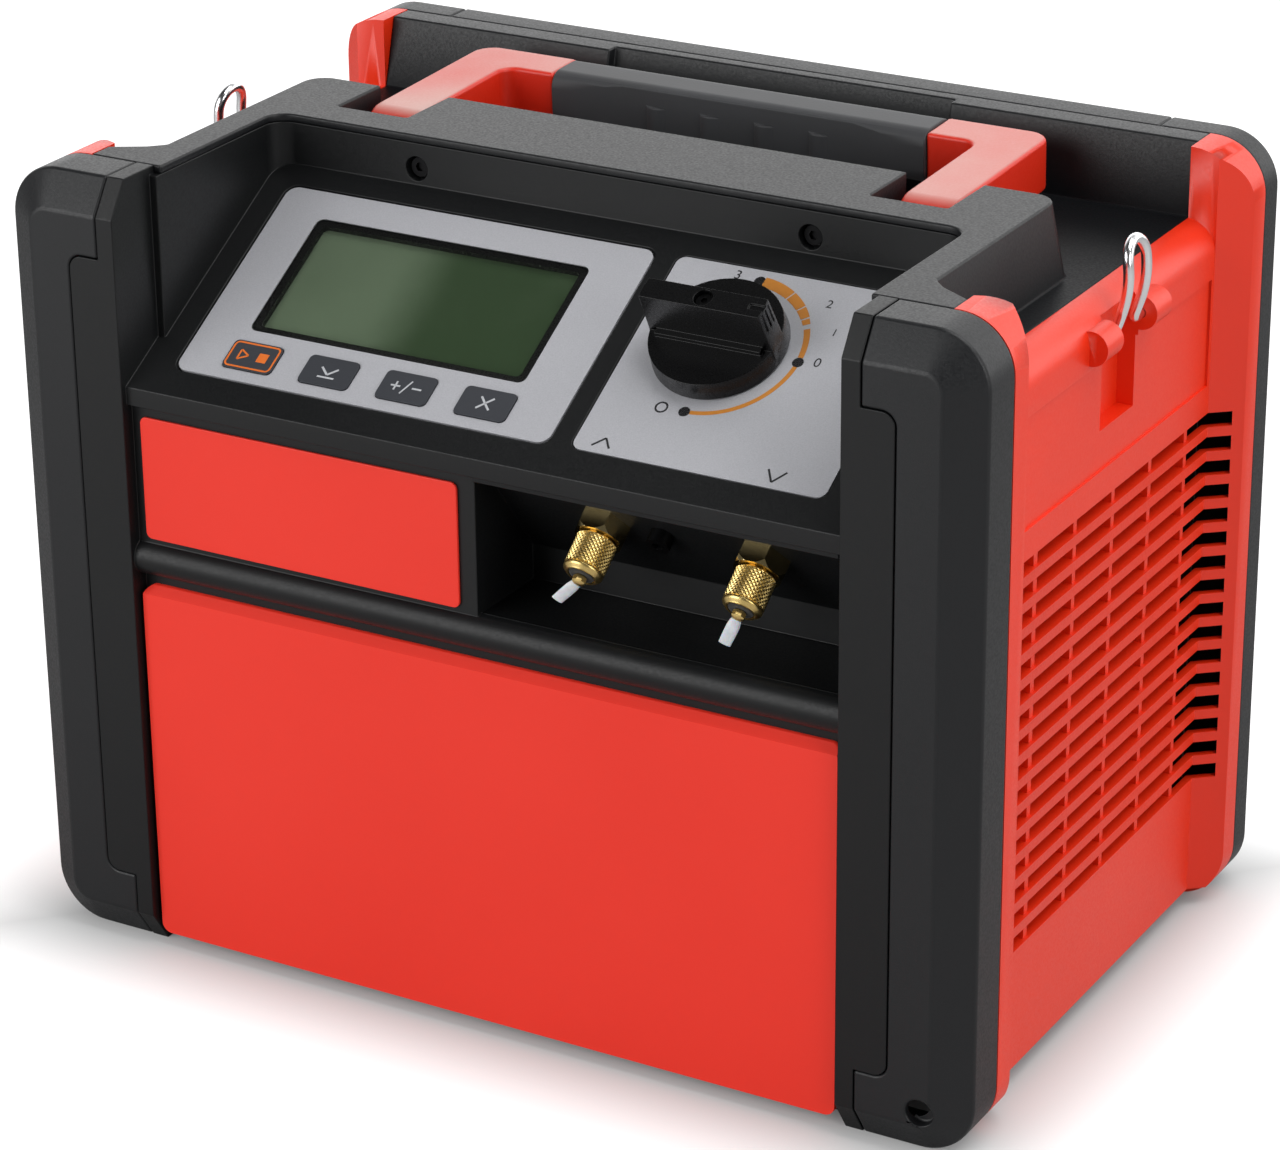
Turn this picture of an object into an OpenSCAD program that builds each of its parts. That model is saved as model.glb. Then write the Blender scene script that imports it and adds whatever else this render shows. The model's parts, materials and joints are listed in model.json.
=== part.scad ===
// Portable refrigerant recovery machine with a sloped control panel, two service ports and a swing handle.
// Millimetres. The origin is the bottom centre, the front faces -Y and +Z is up.
// Depths are measured back from the front face with the function dep().

/* [Overall size] */
// Width over the corner bumpers
body_w = 384; // [370:1:410]
// Depth from the front bumpers to the rear bumpers
body_d = 255; // [250:1:290]
// Height of the corner bumpers
body_h = 299; // [296:1:315]

/* [Corner bumpers] */
// Radius of the rounded frame corners seen from the front
corner_r = 20; // [17:0.5:22]
// Width of one corner bumper at its top and foot
bumper_w = 42; // [39:0.5:44]
// Depth of the front bumpers
bumper_d = 26.5; // [24:0.5:28]
// Depth of the rear bumpers
rear_bumper_d = 20.5; // [19:0.5:24]
// How far the bevel runs in from the outline
facet_in = 13; // [11:0.5:14]
// How deep the bevel runs back from the front face
facet_d = 8.5; // [7:0.5:10]
// Wall of the bumpers
bumper_wall = 3.5; // [2.5:0.5:4]
// Width of the step where the bumper narrows between its ends
bumper_step = 12.5; // [10:0.5:14]
// Height of the wide part at each end of the bumper
bumper_end_h = 28.5; // [24:0.5:34]
// Radius of the round hole low in the right front bumper
bumper_hole_r = 5; // [4:0.25:6]

/* [Side shells] */
// Depth of the red band behind each bumper
band_d = 10; // [8:0.5:12]
// How far the side panel stands back from the outline
panel_inset = 10.5; // [9:0.5:12]
// Wall of the plastic shells
shell_wall = 3; // [2.5:0.25:3.5]
// Depth of the grille ribs
rib_depth = 8; // [6:0.5:9]
// Number of louvre rows
louvre_rows = 16; // [12:1:17]
// Distance between louvre rows
louvre_pitch = 9.42; // [8.5:0.02:9.6]
// Clear height of one louvre slot
louvre_gap = 5.6; // [4.5:0.1:6]
// Top of the highest louvre slot below the top of the machine
louvre_drop = 98.5; // [96:0.5:104]
// Width of the upright bars between the slots
louvre_bar = 2.6; // [2:0.1:3.5]

/* [Control panel] */
// Slope of the control panel
panel_slope = 30.5; // [28:0.5:32]
// Drop from the top of the machine to the front edge of the control panel
panel_drop = 75.5; // [72:0.5:78]
// Depth of the back wall of the control panel
tub_d = 99; // [97:0.5:103]
// Width and height of the display overlay
overlay_size = [153.5, 89.3]; // [80:0.1:156]
// Width and height of the display window
window_size = [114, 54.5]; // [40:0.1:116]
// Width and height of one membrane key
key_size = [20.5, 12.5]; // [8:0.1:22]
// Distance between the keys
key_pitch = 32.1; // [28:0.1:34]
// Travel of a key
key_travel = 0.4; // [0.3:0.05:0.5]
// Width and height of the dial plate
dial_size = [96.4, 88.5]; // [80:0.1:98]
// Radius of the valve knob
knob_r = 24.5; // [22:0.5:26]
// Height of the valve knob
knob_h = 24.2; // [20:0.2:27]
// Radius of the valve stem
stem_r = 4; // [3.5:0.25:4.5]

/* [Service ports] */
// Angle of the ports below level
port_dip = 38; // [35:1:41]
// Distance between the two ports
port_pitch = 61.6; // [56:0.2:64]
// Radius of the flare thread of a port
port_r = 5.5; // [5:0.1:5.8]
// Radius of a knurled port cap
cap_r = 7.25; // [7:0.05:8]
// Length of a port cap
cap_len = 14.4; // [13:0.2:16]

/* [Handle and strap hooks] */
// Outer width of the swing handle
handle_w = 240; // [232:1:244]
// Width of one handle arm
arm_w = 21.5; // [19:0.5:23]
// Thickness of the handle arms
arm_t = 19.5; // [17:0.5:20]
// Depth of the handle pivot from the front face
pivot_d = 136; // [134:0.5:140]
// Length of the soft grip
grip_len = 156; // [140:1:164]
// Radius of the handle pivot pins
pivot_r = 4; // [3:0.25:5]
// Radius of the wire of the strap hooks
wire_r = 2; // [1.75:0.05:2.2]
// Height of a strap hook above its pivot
hook_h = 33.5; // [30:0.5:34]

/* [Inside] */
// Radius of the fan
fan_r = 72; // [60:1:78]
// Number of fan blades
fan_blade_count = 7; // [5:1:9]
// Radius of the compressor motor
motor_r = 52; // [44:1:58]

/* [Hidden] */
$fn = 64;

// Colours of the moulded plastics and metals
red_plastic = "#d9291f";
black_plastic = "#2a2b2d";
soft_black = "#1d1e20";
silver_foil = "#c6c7ca";
key_grey = "#4a4c50";
brass = "#c8a850";
steel = "#9a9da1";
copper = "#b5744a";
cast_grey = "#84878a";

// Clearances
part_gap = 0.3;
running_gap = 0.04;
eps = 0.01;

// Main planes
half_w = body_w / 2;
front_y = -body_d / 2;
seam_in = half_w - bumper_w;
step_r = 5;
strip_w = 7;
tub_half = seam_in - strip_w;
deck_wall = shell_wall;
post_x = half_w - 22;
panel_x = half_w - panel_inset;
band_front = bumper_d + band_d;
rear_joint = body_d - rear_bumper_d;
band_rear = rear_joint - band_d;
chamfer_d = 9;
base_z = 7;
base_t = 3;

function dep(d) = front_y + d;

// Control panel frame: local x across, local y up the slope, local z out of the panel
lip_d = 2.6;
panel_z = body_h - panel_drop;
panel_t = 3.2;
tub_back_z = panel_z + (tub_d - lip_d) * tan(panel_slope);
foil_pocket = 1.2;
foil_t = 1;
overlay_mid = [-52.25, 56.9];
window_mid = [-53, 62.2];
lcd_t = 9;
key_row = 23.3;
key_first = -101.5;
dial_mid = [81.8, 57.2];
knob_mid = [66.4, 66.6];
knob_skirt = 7;
knob_lift = 0.3;
stem_seat = 6;
spigot_r = 2.5;
spigot_end = knob_h - 8.2;

// Port recess, as depth and height of its corners
sill_z = panel_z - 59.5;
recess_top_z = panel_z - 9;
recess_back = 42.5;
recess_step_z = recess_top_z - 37;
port_wall_h = recess_top_z - recess_step_z;
recess_front_top = recess_back - port_wall_h * tan(port_dip);
recess_left = 0.3;
recess_right = tub_half - 2;
port_mid_x = 71.3;
port_up = 28;
hex_h = 7;
hex_af = 17;
cap_seat = hex_h + 0.4;
thread_end = hex_h + 12;

// Front panel and label
front_panel_d = 3.25;
backing_d = 8;
front_panel_half = tub_half - 1.6;
roll_z = [sill_z - 13.8, sill_z];
front_panel_z = [5.7, roll_z[0] - 3.5];
roll_r = (roll_z[1] - roll_z[0]) / 2;
label_x = [4 - tub_half, recess_left - 6.8];
label_z = [sill_z + 1.5, recess_top_z - 2.2];
label_d = 5.5;
label_t = 1.2;

// Deck, tray and handle
tray_z = body_h - 26.5;
deck_back = pivot_d + 8.3;
deck_top_half = 152.9;
deck_foot_half = 159.2;
deck_corner_r = 9;
tub_corner_r = 8;
tub_inner_half = tub_half - shell_wall;
tub_front = bumper_d - shell_wall;
notch_x = [handle_w / 2 - arm_w - 4.3, handle_w / 2 + 4];
notch_d = pivot_d - 20.5;
inner_wall_d = [rear_joint - 17.5, rear_joint - 10.5];
scoop_half = 72;
scoop_d = 5;
scoop_h = 20;
handle_back_gap = 6;
handle_len = inner_wall_d[0] - pivot_d - handle_back_gap;
pivot_z = tray_z + 13.2;
handle_tilt = 2;
bar_d = 19;

// Strap hook channel in each side shell
hook_d = 134.8;
hook_pivot_x = panel_x + 0.5;
hook_pivot_z = body_h - 38.5;
channel_half = 14;
channel_depth = 7.5;
channel_foot_z = hook_pivot_z - hook_h - 1;
channel_top_z = hook_pivot_z - 0.5;
channel_gap = 0.8;
hook_half = 7.5;
hook_lean = 4;
lug_r = 6.3;
lug_len = 13;
side_recess_z = [body_h - 87.5, body_h - 49];
side_recess_d = [band_front + chamfer_d + 2, band_rear - chamfer_d - 2];

// Louvres
louvre_top = body_h - louvre_drop;
louvre_columns = [41.5, 73.4, 105, 136.6, 168.2];
louvre_slot_len = 31.6 - louvre_bar;
corner_slot_d = [199.8, band_rear + 1.5];
corner_slot_edge = half_w - 3.5;
bar_set = 1.4;

// Inner machinery
inner_floor = base_z + base_t;
fan_x = panel_x - rib_depth - 6;
fan_z = louvre_top - louvre_rows * louvre_pitch / 2 - 1.14;
fan_d = 128;
motor_d = [62, 140];
motor_z = 96;
crank_w = 74;
crank_len = 58;
coil_size = [26, 2 * fan_r - 4, louvre_top - inner_floor - 10.5];
coil_x = 20 - panel_x + rib_depth;
coil_row = coil_size[2] / 7.5;
coil_tube_end = coil_size[1] / 2 + 4;
pipe_r = 4;

// Power inlet and switch on the rear cover
field_size = [2 * seam_in - 70, body_h - 109];
inlet_size = [27, 20];
inlet_mid = [37 - field_size[0] / 2, (body_h - field_size[1]) / 2 + 29.5];
switch_size = [19.4, 13];
switch_mid = inlet_mid + [38, 0];
rocker_tilt = 8;
rear_wall_t = 4.5;
field_d = 2.2;

module rounded_square(size, r) {
    // Exact rounded rectangle from squares and circles
    translate([r - size[0] / 2, -size[1] / 2])
        square([size[0] - 2 * r, size[1]]);
    translate([-size[0] / 2, r - size[1] / 2])
        square([size[0], size[1] - 2 * r]);
    for (sx = [-1, 1])
        for (sy = [-1, 1])
            translate([sx * (size[0] / 2 - r), sy * (size[1] / 2 - r)])
                circle(r);
}

module along_x(x0, x1) {
    // Extrudes a depth and height outline across the machine from x0 to x1
    translate([x0, front_y, 0])
        rotate([90, 0, 90])
            linear_extrude(x1 - x0)
                children();
}

module on_panel(x, s, out = 0) {
    // Places its children on the control panel
    translate([0, dep(lip_d), panel_z])
        rotate([panel_slope, 0, 0])
            translate([x, s, out])
                children();
}

module at_port(x) {
    // Places its children on the sloped port wall with local z along the port
    up = port_up * cos(port_dip);
    translate([x, dep(recess_back - port_up * sin(port_dip)), recess_step_z + up])
        rotate([90 + port_dip, 0, 0])
            children();
}

module frame_solid(depth, t = 0) {
    // Rounded frame block with a bevelled front edge, set in by t, from the front face back
    r = corner_r - t;
    tip = max(corner_r - facet_in - t, 0.5);
    xc = half_w - corner_r;
    z0 = corner_r;
    z1 = body_h - corner_r;
    flat = t + facet_d;
    for (x = [-xc, xc])
        for (z = [z0, z1])
            translate([x, t, z])
                rotate([-90, 0, 0])
                    union() {
                        cylinder(r1 = tip, r2 = r, h = facet_d);
                        translate([0, 0, facet_d])
                            cylinder(r = r, h = depth - flat);
                    }
    translate([0, 0, z0])
        linear_extrude(z1 - z0)
            polygon([[-xc - tip, t], [xc + tip, t], [xc + r, flat], [xc + r, depth],
                     [-xc - r, depth], [-xc - r, flat]]);
    translate([-xc, 0, 0])
        rotate([90, 0, 90])
            linear_extrude(2 * xc)
                polygon([[t, z0 - tip], [flat, z0 - r], [depth, z0 - r], [depth, z1 + r],
                         [flat, z1 + r], [t, z1 + tip]]);
}

module frame_outline(t = 0) {
    // Front view outline of the frames, set in by t, drawn in x and z
    translate([0, body_h / 2])
        rounded_square([body_w - 2 * t, body_h - 2 * t], corner_r - t);
}

module between_depths(d0, d1) {
    // Extrudes a front view outline from depth d0 to depth d1
    translate([0, dep(d1), 0])
        rotate([90, 0, 0])
            linear_extrude(d1 - d0)
                children();
}

module step_solid(depth, t) {
    // Rounded block that steps into the right-hand bumper between its ends, set out by t
    size = [2 * (bumper_step + t), body_h - 2 * (bumper_end_h - t)];
    translate([seam_in, depth, body_h / 2])
        rotate([90, 0, 0])
            linear_extrude(depth + 1)
                rounded_square(size, step_r + t);
}

module bumper_block(depth) {
    // Right-hand bumper, front face at y = 0
    difference() {
        intersection() {
            frame_solid(depth);
            translate([seam_in + part_gap, -1, -1])
                cube([bumper_w, depth + 1, body_h + 2]);
        }
        frame_solid(depth + 1, bumper_wall);
        step_solid(depth + 1, part_gap);
    }
}

module front_bumper_right() {
    hole_x = half_w - 17;
    hole_z = 18;
    color(black_plastic)
        translate([0, front_y, 0])
            difference() {
                bumper_block(bumper_d);
                translate([hole_x, -1, hole_z])
                    rotate([-90, 0, 0])
                        cylinder(r = bumper_hole_r, h = bumper_wall + 2);
            }
}

module front_bumper_left() {
    color(black_plastic)
        translate([0, front_y, 0])
            mirror([1, 0, 0])
                bumper_block(bumper_d);
}

module rear_bumper_right() {
    color(black_plastic)
        translate([0, -front_y, 0])
            mirror([0, 1, 0])
                bumper_block(rear_bumper_d);
}

module rear_bumper_left() {
    color(black_plastic)
        mirror([1, 0, 0])
            translate([0, -front_y, 0])
                mirror([0, 1, 0])
                    bumper_block(rear_bumper_d);
}

module base_tray() {
    // Steel floor pan that carries the machinery, with an upturned rim
    tray_half = panel_x - shell_wall - part_gap;
    pan_d = [bumper_d + part_gap, rear_joint - part_gap];
    rim_h = 22;
    color(steel)
        difference() {
            translate([-tray_half, dep(pan_d[0]), base_z])
                cube([2 * tray_half, pan_d[1] - pan_d[0], rim_h]);
            translate([base_t - tray_half, dep(pan_d[0] + base_t), base_z + base_t])
                cube([2 * (tray_half - base_t), pan_d[1] - pan_d[0] - 2 * base_t, rim_h]);
        }
}

module tub_plan(t) {
    // Plan of the control tub between its side walls, set out by t
    half = tub_inner_half + t;
    back = tub_d + t;
    r = tub_corner_r + t;
    translate([0, front_y])
        union() {
            translate([-half, tub_front])
                square([2 * half, back - r - tub_front]);
            translate([r - half, tub_front])
                square([2 * (half - r), back - tub_front]);
            for (sx = [-1, 1])
                translate([sx * (half - r), back - r])
                    circle(r);
        }
}

module fascia_strips() {
    // Upright strips between the tub and the bumpers, with the frame's bevelled ends
    strip_t = 4;
    for (sx = [0, 1])
        mirror([sx, 0, 0])
            translate([0, front_y, 0])
                intersection() {
                    frame_solid(bumper_d);
                    union() {
                        translate([tub_half, -1, 0])
                            cube([strip_w, bumper_d + 1, body_h]);
                        difference() {
                            step_solid(strip_t, 0);
                            translate([0, -2, -1])
                                cube([tub_half, strip_t + 3, body_h + 2]);
                        }
                    }
                }
}

module control_slope() {
    // Sloped slab of the control panel with its front lip and the tub walls around it
    drop = panel_t / cos(panel_slope);
    lip_t = 3.4;
    along_x(-tub_half, tub_half)
        polygon([[lip_d, panel_z], [bumper_d, panel_z + (bumper_d - lip_d) * tan(panel_slope)],
                 [bumper_d, panel_z + (bumper_d - lip_d) * tan(panel_slope) - drop],
                 [lip_d + lip_t, panel_z + lip_t * tan(panel_slope) - drop],
                 [lip_d + lip_t, recess_top_z + 2], [lip_d, recess_top_z + 2]]);
    intersection() {
        translate([0, 0, panel_z - 20])
            linear_extrude(body_h)
                tub_plan(shell_wall);
        along_x(-tub_half, tub_half)
            polygon([[bumper_d, panel_z + (bumper_d - lip_d) * tan(panel_slope)],
                     [tub_d + shell_wall, tub_back_z + shell_wall * tan(panel_slope)],
                     [tub_d + shell_wall, tub_back_z + shell_wall * tan(panel_slope) - drop],
                     [bumper_d, panel_z + (bumper_d - lip_d) * tan(panel_slope) - drop]]);
    }
    difference() {
        intersection() {
            translate([0, 0, panel_z - 20])
                linear_extrude(body_h - deck_wall - panel_z + 20)
                    difference() {
                        tub_plan(shell_wall);
                        tub_plan(0);
                    }
            along_x(-tub_half, tub_half)
                polygon([[tub_front, panel_z + (tub_front - lip_d) * tan(panel_slope) - drop],
                         [tub_d + shell_wall, tub_back_z - drop], [tub_d + shell_wall, body_h],
                         [tub_front, body_h]]);
        }
        fascia_screw_places()
            cylinder(r = 4.5, h = 20, center = true);
    }
    fascia_screw_places()
        translate([0, 0, -shell_wall - 4])
            difference() {
                cylinder(r = 6.5, h = 5.5);
                translate([0, 0, 2])
                    cylinder(r = 4.5, h = 5.5);
                cylinder(r = 2.2, h = 9, center = true);
            }
}

module fascia_screw_places() {
    // The two counterbores on the back wall of the tub, local z out of the wall
    for (sx = [-1, 1])
        translate([sx * 80, dep(tub_d), body_h - 12.7])
            rotate([90, 0, 0])
                children();
}

module recess_walls() {
    // Port recess: floor, low back wall, sloped port wall, ceiling and both end walls
    w = shell_wall;
    knee = [recess_back + w, recess_step_z + w * tan(port_dip / 2)];
    top = [recess_front_top + w * (1 / cos(port_dip) - tan(port_dip)), recess_top_z + w];
    along_x(recess_left, recess_right)
        polygon([[backing_d, sill_z - w], [recess_back + w, sill_z - w], knee, top,
                 [lip_d + 1, recess_top_z + w],
                 [lip_d + 1, recess_top_z], [recess_front_top, recess_top_z], [recess_back, recess_step_z],
                 [recess_back, sill_z], [backing_d, sill_z]]);
    for (x = [recess_left - w, recess_right])
        along_x(x, x + w)
            polygon([[label_d, sill_z - w], [recess_back + w, sill_z - w], knee, top,
                     [label_d, recess_top_z + w]]);
}

module front_walls() {
    // Label field, rounded sill and the backing wall behind the front panel
    along_x(-tub_half, recess_left)
        polygon([[label_d, sill_z - 6], [backing_d + 1, sill_z - 6], [backing_d + 1, recess_top_z + 6],
                 [label_d, recess_top_z + 6]]);
    along_x(-tub_half, tub_half) {
        translate([1.5 + roll_r, roll_z[0] + roll_r])
            circle(roll_r);
        translate([1.5 + roll_r, roll_z[0]])
            square([backing_d + shell_wall - 1.5 - roll_r, 2 * roll_r]);
        translate([backing_d, front_panel_z[0]])
            square([shell_wall, roll_z[0] - front_panel_z[0] + 1]);
        translate([backing_d, front_panel_z[0]])
            square([bumper_d - backing_d, shell_wall]);
    }
}

module front_fascia() {
    color(black_plastic)
        difference() {
            union() {
                fascia_strips();
                control_slope();
                recess_walls();
                front_walls();
            }
            on_panel(overlay_mid[0], overlay_mid[1], -foil_pocket)
                linear_extrude(foil_pocket + 1)
                    rounded_square(overlay_size + [1.6, 1.6], 5);
            on_panel(dial_mid[0], dial_mid[1], -foil_pocket)
                linear_extrude(foil_pocket + 1)
                    rounded_square(dial_size + [0.8, 0.8], 4);
            on_panel(window_mid[0], window_mid[1], -panel_t - 1)
                linear_extrude(panel_t + 2)
                    rounded_square(window_size - [5, 5], 2);
            for (i = [0 : 3])
                on_panel(key_first + i * key_pitch, key_row, -foil_pocket - 1.2)
                    linear_extrude(foil_pocket + 1)
                        rounded_square(key_size - [2, 2], 1.5);
            on_panel(knob_mid[0], knob_mid[1], -panel_t - 1)
                cylinder(r = stem_r + 2.5, h = panel_t + 2);
            for (sx = [-1, 1])
                at_port(port_mid_x + sx * port_pitch / 2)
                    cylinder(r = port_r + 1.5 + running_gap, h = 20, center = true);
            at_port(port_mid_x - 8.5)
                cylinder(r = 2.5 + running_gap, h = 20, center = true);
        }
}

module front_panel() {
    // Red front panel with a bevelled top lip
    h = front_panel_z[1] - front_panel_z[0];
    lip = 3;
    corner = 4;
    color(red_plastic)
        difference() {
            between_depths(front_panel_d, backing_d)
                translate([0, front_panel_z[0] + h / 2])
                    rounded_square([2 * front_panel_half, h], corner);
            along_x(-half_w, half_w)
                polygon([[front_panel_d - 1, front_panel_z[1] - lip - 1],
                         [front_panel_d + lip + 1, front_panel_z[1] + 1],
                         [front_panel_d - 1, front_panel_z[1] + 1]]);
        }
}

module label_plate() {
    color(red_plastic)
        between_depths(label_d - label_t, label_d)
            translate([(label_x[0] + label_x[1]) / 2, (label_z[0] + label_z[1]) / 2])
                rounded_square([label_x[1] - label_x[0], label_z[1] - label_z[0]], 2.5);
}

module shell_plan(t) {
    // Plan outline of the right side shell between its bands, set in by t
    k = t * tan(22.5);
    polygon([[post_x, dep(bumper_d)], [half_w - t, dep(bumper_d)], [half_w - t, dep(band_front - k)],
             [panel_x - t, dep(band_front + chamfer_d - k)], [panel_x - t, dep(band_rear - chamfer_d + k)],
             [half_w - t, dep(band_rear + k)], [half_w - t, dep(rear_joint)], [post_x, dep(rear_joint)]]);
}

module band_ring(d0, d1) {
    // Red band that follows the frame outline on the right side
    intersection() {
        between_depths(d0, d1)
            difference() {
                frame_outline();
                frame_outline(shell_wall);
            }
        translate([post_x, front_y, -1])
            cube([body_w, body_d, body_h + 2]);
    }
}

module shell_posts() {
    // Solid corner posts of the side shell above the tray
    linear_extrude(body_h)
        polygon([[post_x, dep(bumper_d)], [half_w, dep(bumper_d)], [half_w, dep(band_front)],
                 [panel_x, dep(band_front + chamfer_d)], [post_x, dep(band_front + 4)]]);
    linear_extrude(body_h)
        polygon([[post_x, dep(inner_wall_d[0])], [panel_x, dep(band_rear - chamfer_d)],
                 [half_w, dep(band_rear)],
                 [half_w, dep(rear_joint)], [post_x, dep(rear_joint)]]);
}

module side_shell() {
    // Right side shell; the left one is its mirror image
    fillet_r = panel_x - post_x;
    panel_top = tray_z - fillet_r;
    difference() {
        union() {
            intersection() {
                between_depths(bumper_d, rear_joint)
                    frame_outline();
                union() {
                    translate([0, 0, base_z])
                        linear_extrude(panel_top - base_z)
                            difference() {
                                shell_plan(0);
                                shell_plan(shell_wall);
                            }
                    translate([0, 0, panel_top])
                        intersection() {
                            shell_posts();
                            cube([body_w, body_d, 2 * body_h], center = true);
                        }
                }
            }
            band_ring(bumper_d, band_front);
            band_ring(band_rear, rear_joint);
            side_top_round(fillet_r, panel_top);
            grille_block();
            hook_pocket();
        }
        louvre_slots();
        hook_channel();
        side_recess();
    }
}

module side_top_round(r, z) {
    // Rounded top edge of the side panel, from its face over to the tray
    along_depth = band_rear - chamfer_d + 4 - band_front;
    translate([post_x, dep(band_front), z])
        rotate([-90, 0, 0])
            intersection() {
                difference() {
                    cylinder(r = r, h = along_depth);
                    translate([0, 0, -1])
                        cylinder(r = r - shell_wall, h = along_depth + 2);
                }
                translate([0, -r - 1, -1])
                    cube([r + 1, r + 1, along_depth + 2]);
            }
}

module grille_block() {
    // Thick field that the louvre slots are cut through
    z0 = louvre_top - louvre_rows * louvre_pitch;
    d0 = louvre_columns[0] + 6;
    translate([panel_x - rib_depth, dep(d0), z0])
        cube([rib_depth - 1, corner_slot_d[0] - d0, louvre_rows * louvre_pitch + 2]);
}

module louvre_slots() {
    for (row = [0 : louvre_rows - 1]) {
        z = louvre_top - row * louvre_pitch - louvre_gap;
        for (d = louvre_columns)
            translate([panel_x - rib_depth - 1, dep(max(d, band_front + chamfer_d)), z])
                cube([rib_depth + 2, louvre_slot_len - max(0, band_front + chamfer_d - d), louvre_gap]);
        translate([panel_x - rib_depth - 1, dep(corner_slot_d[0]), z])
            cube([corner_slot_edge - panel_x + rib_depth + 1,
                  corner_slot_d[1] - corner_slot_d[0], louvre_gap]);
        translate([panel_x - bar_set, dep(band_front + chamfer_d), z])
            cube([bar_set + 1, corner_slot_d[0] - band_front - chamfer_d + 1, louvre_gap]);
    }
}

module hook_pocket() {
    // Walls of the channel that takes the folded strap hook, and the two pivot lugs
    wall = 2.5;
    translate([panel_x - channel_depth - wall, dep(hook_d - channel_half - wall), channel_foot_z - wall])
        cube([channel_depth + wall - 1, 2 * (channel_half + wall),
              channel_top_z - channel_foot_z + 2 * wall]);
    for (sy = [-1, 1])
        translate([hook_pivot_x, dep(hook_d) + sy * (channel_half + lug_len / 2), hook_pivot_z])
            rotate([90, 0, 0])
                cylinder(r = lug_r, h = lug_len, center = true);
}

module hook_channel() {
    // Channel for the folded hook, and a shallow groove above it where the hook stands up
    translate([panel_x - channel_depth, dep(hook_d - channel_half), channel_foot_z])
        cube([channel_depth + 20, 2 * channel_half, channel_top_z - channel_foot_z]);
    translate([hook_pivot_x - wire_r - channel_gap, dep(hook_d - channel_half), channel_foot_z])
        cube([20, 2 * channel_half, body_h]);
    translate([hook_pivot_x, dep(hook_d), hook_pivot_z])
        rotate([90, 0, 0])
            cylinder(r = wire_r + running_gap, h = 2 * (channel_half + 10), center = true);
}

module side_recess() {
    // Shallow recessed field across the side panel, stopped short of the lugs
    depth = 1;
    end = hook_d - channel_half - lug_len - 1;
    for (range = [[side_recess_d[0], end], [2 * hook_d - end, side_recess_d[1]]])
        translate([panel_x - depth, dep(range[0]), side_recess_z[0]])
            cube([depth + 1, range[1] - range[0], side_recess_z[1] - side_recess_z[0]]);
    translate([panel_x - depth, dep(side_recess_d[0]), side_recess_z[0]])
        cube([depth + 1, side_recess_d[1] - side_recess_d[0], hook_pivot_z - lug_r - 2 - side_recess_z[0]]);
}

module side_panel_right() {
    color(red_plastic)
        side_shell();
}

module side_panel_left() {
    color(red_plastic)
        mirror([1, 0, 0])
            side_shell();
}

module deck_solid(t) {
    // Raised deck with drafted sides and rounded rear corners, set in by t
    r = deck_corner_r - t / 2;
    mid = (bumper_d + deck_back - t) / 2;
    len = deck_back - t - bumper_d;
    hull() {
        translate([0, dep(mid), tray_z - base_t])
            linear_extrude(eps)
                rounded_square([2 * (deck_foot_half - t), len], r, $fn = 32);
        translate([0, dep(mid), body_h - t - eps])
            linear_extrude(eps)
                rounded_square([2 * (deck_top_half - t), len], r, $fn = 32);
    }
}

module deck_shoulders() {
    // Front corners of the deck that flare out to the red bands
    for (sx = [-1, 1])
        scale([sx, 1, 1])
            translate([0, 0, tray_z])
                linear_extrude(body_h - tray_z)
                    polygon([[deck_top_half - 12, dep(bumper_d)], [post_x, dep(bumper_d)],
                             [post_x, dep(band_front)], [deck_top_half + 5, dep(band_front + 7)],
                             [deck_top_half - 2, dep(band_front + 14)],
                             [deck_top_half - 12, dep(band_front + 14)]]);
}

module handle_notches(t, z0, rise = 0) {
    // Open notches for the handle arms, set out by t and running on above the deck by rise
    for (sx = [-1, 1])
        scale([sx, 1, 1])
            translate([notch_x[0] - t, dep(notch_d - t), z0])
                cube([notch_x[1] - notch_x[0] + 2 * t, deck_back - notch_d + t, body_h - z0 + rise]);
}

module rear_wall(t) {
    // Sloped wall behind the handle and the ledge that joins it to the rear frame
    along_x(-post_x, post_x)
        polygon([[inner_wall_d[0] + t, tray_z - base_t], [inner_wall_d[0] + t, tray_z],
                 [inner_wall_d[1] + t, body_h - t],
                 [rear_joint + t, body_h - t], [rear_joint + t, tray_z - base_t]]);
}

module top_cover() {
    color(black_plastic)
        difference() {
            union() {
                difference() {
                    union() {
                        deck_solid(0);
                        deck_shoulders();
                    }
                    deck_solid(deck_wall);
                }
                handle_notches(deck_wall, tray_z - base_t);
                translate([-post_x, dep(bumper_d), tray_z - base_t])
                    difference() {
                        cube([2 * post_x, inner_wall_d[0] - bumper_d + 1, base_t]);
                        translate([post_x - deck_foot_half + 3, -1, -1])
                            cube([2 * (deck_foot_half - 3), notch_d - deck_wall - bumper_d, base_t + 2]);
                    }
                difference() {
                    rear_wall(0);
                    difference() {
                        rear_wall(shell_wall);
                        rear_scoop(shell_wall);
                    }
                }
            }
            handle_notches(0, tray_z - eps, 1);
            translate([0, 0, body_h / 2])
                linear_extrude(body_h)
                    tub_plan(0);
            translate([-tub_half, dep(bumper_d) - 1, body_h / 2])
                cube([2 * tub_half, tub_d - 20 - bumper_d, body_h / 2 - deck_wall]);
            translate([0, 0, body_h / 2])
                linear_extrude(body_h / 2 - deck_wall)
                    tub_plan(shell_wall);
            rear_scoop(0);
            translate([0, dep(pivot_d), pivot_z])
                rotate([0, 90, 0])
                    cylinder(r = pivot_r + running_gap, h = 2 * notch_x[1] + 16, center = true);
        }
}

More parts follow.
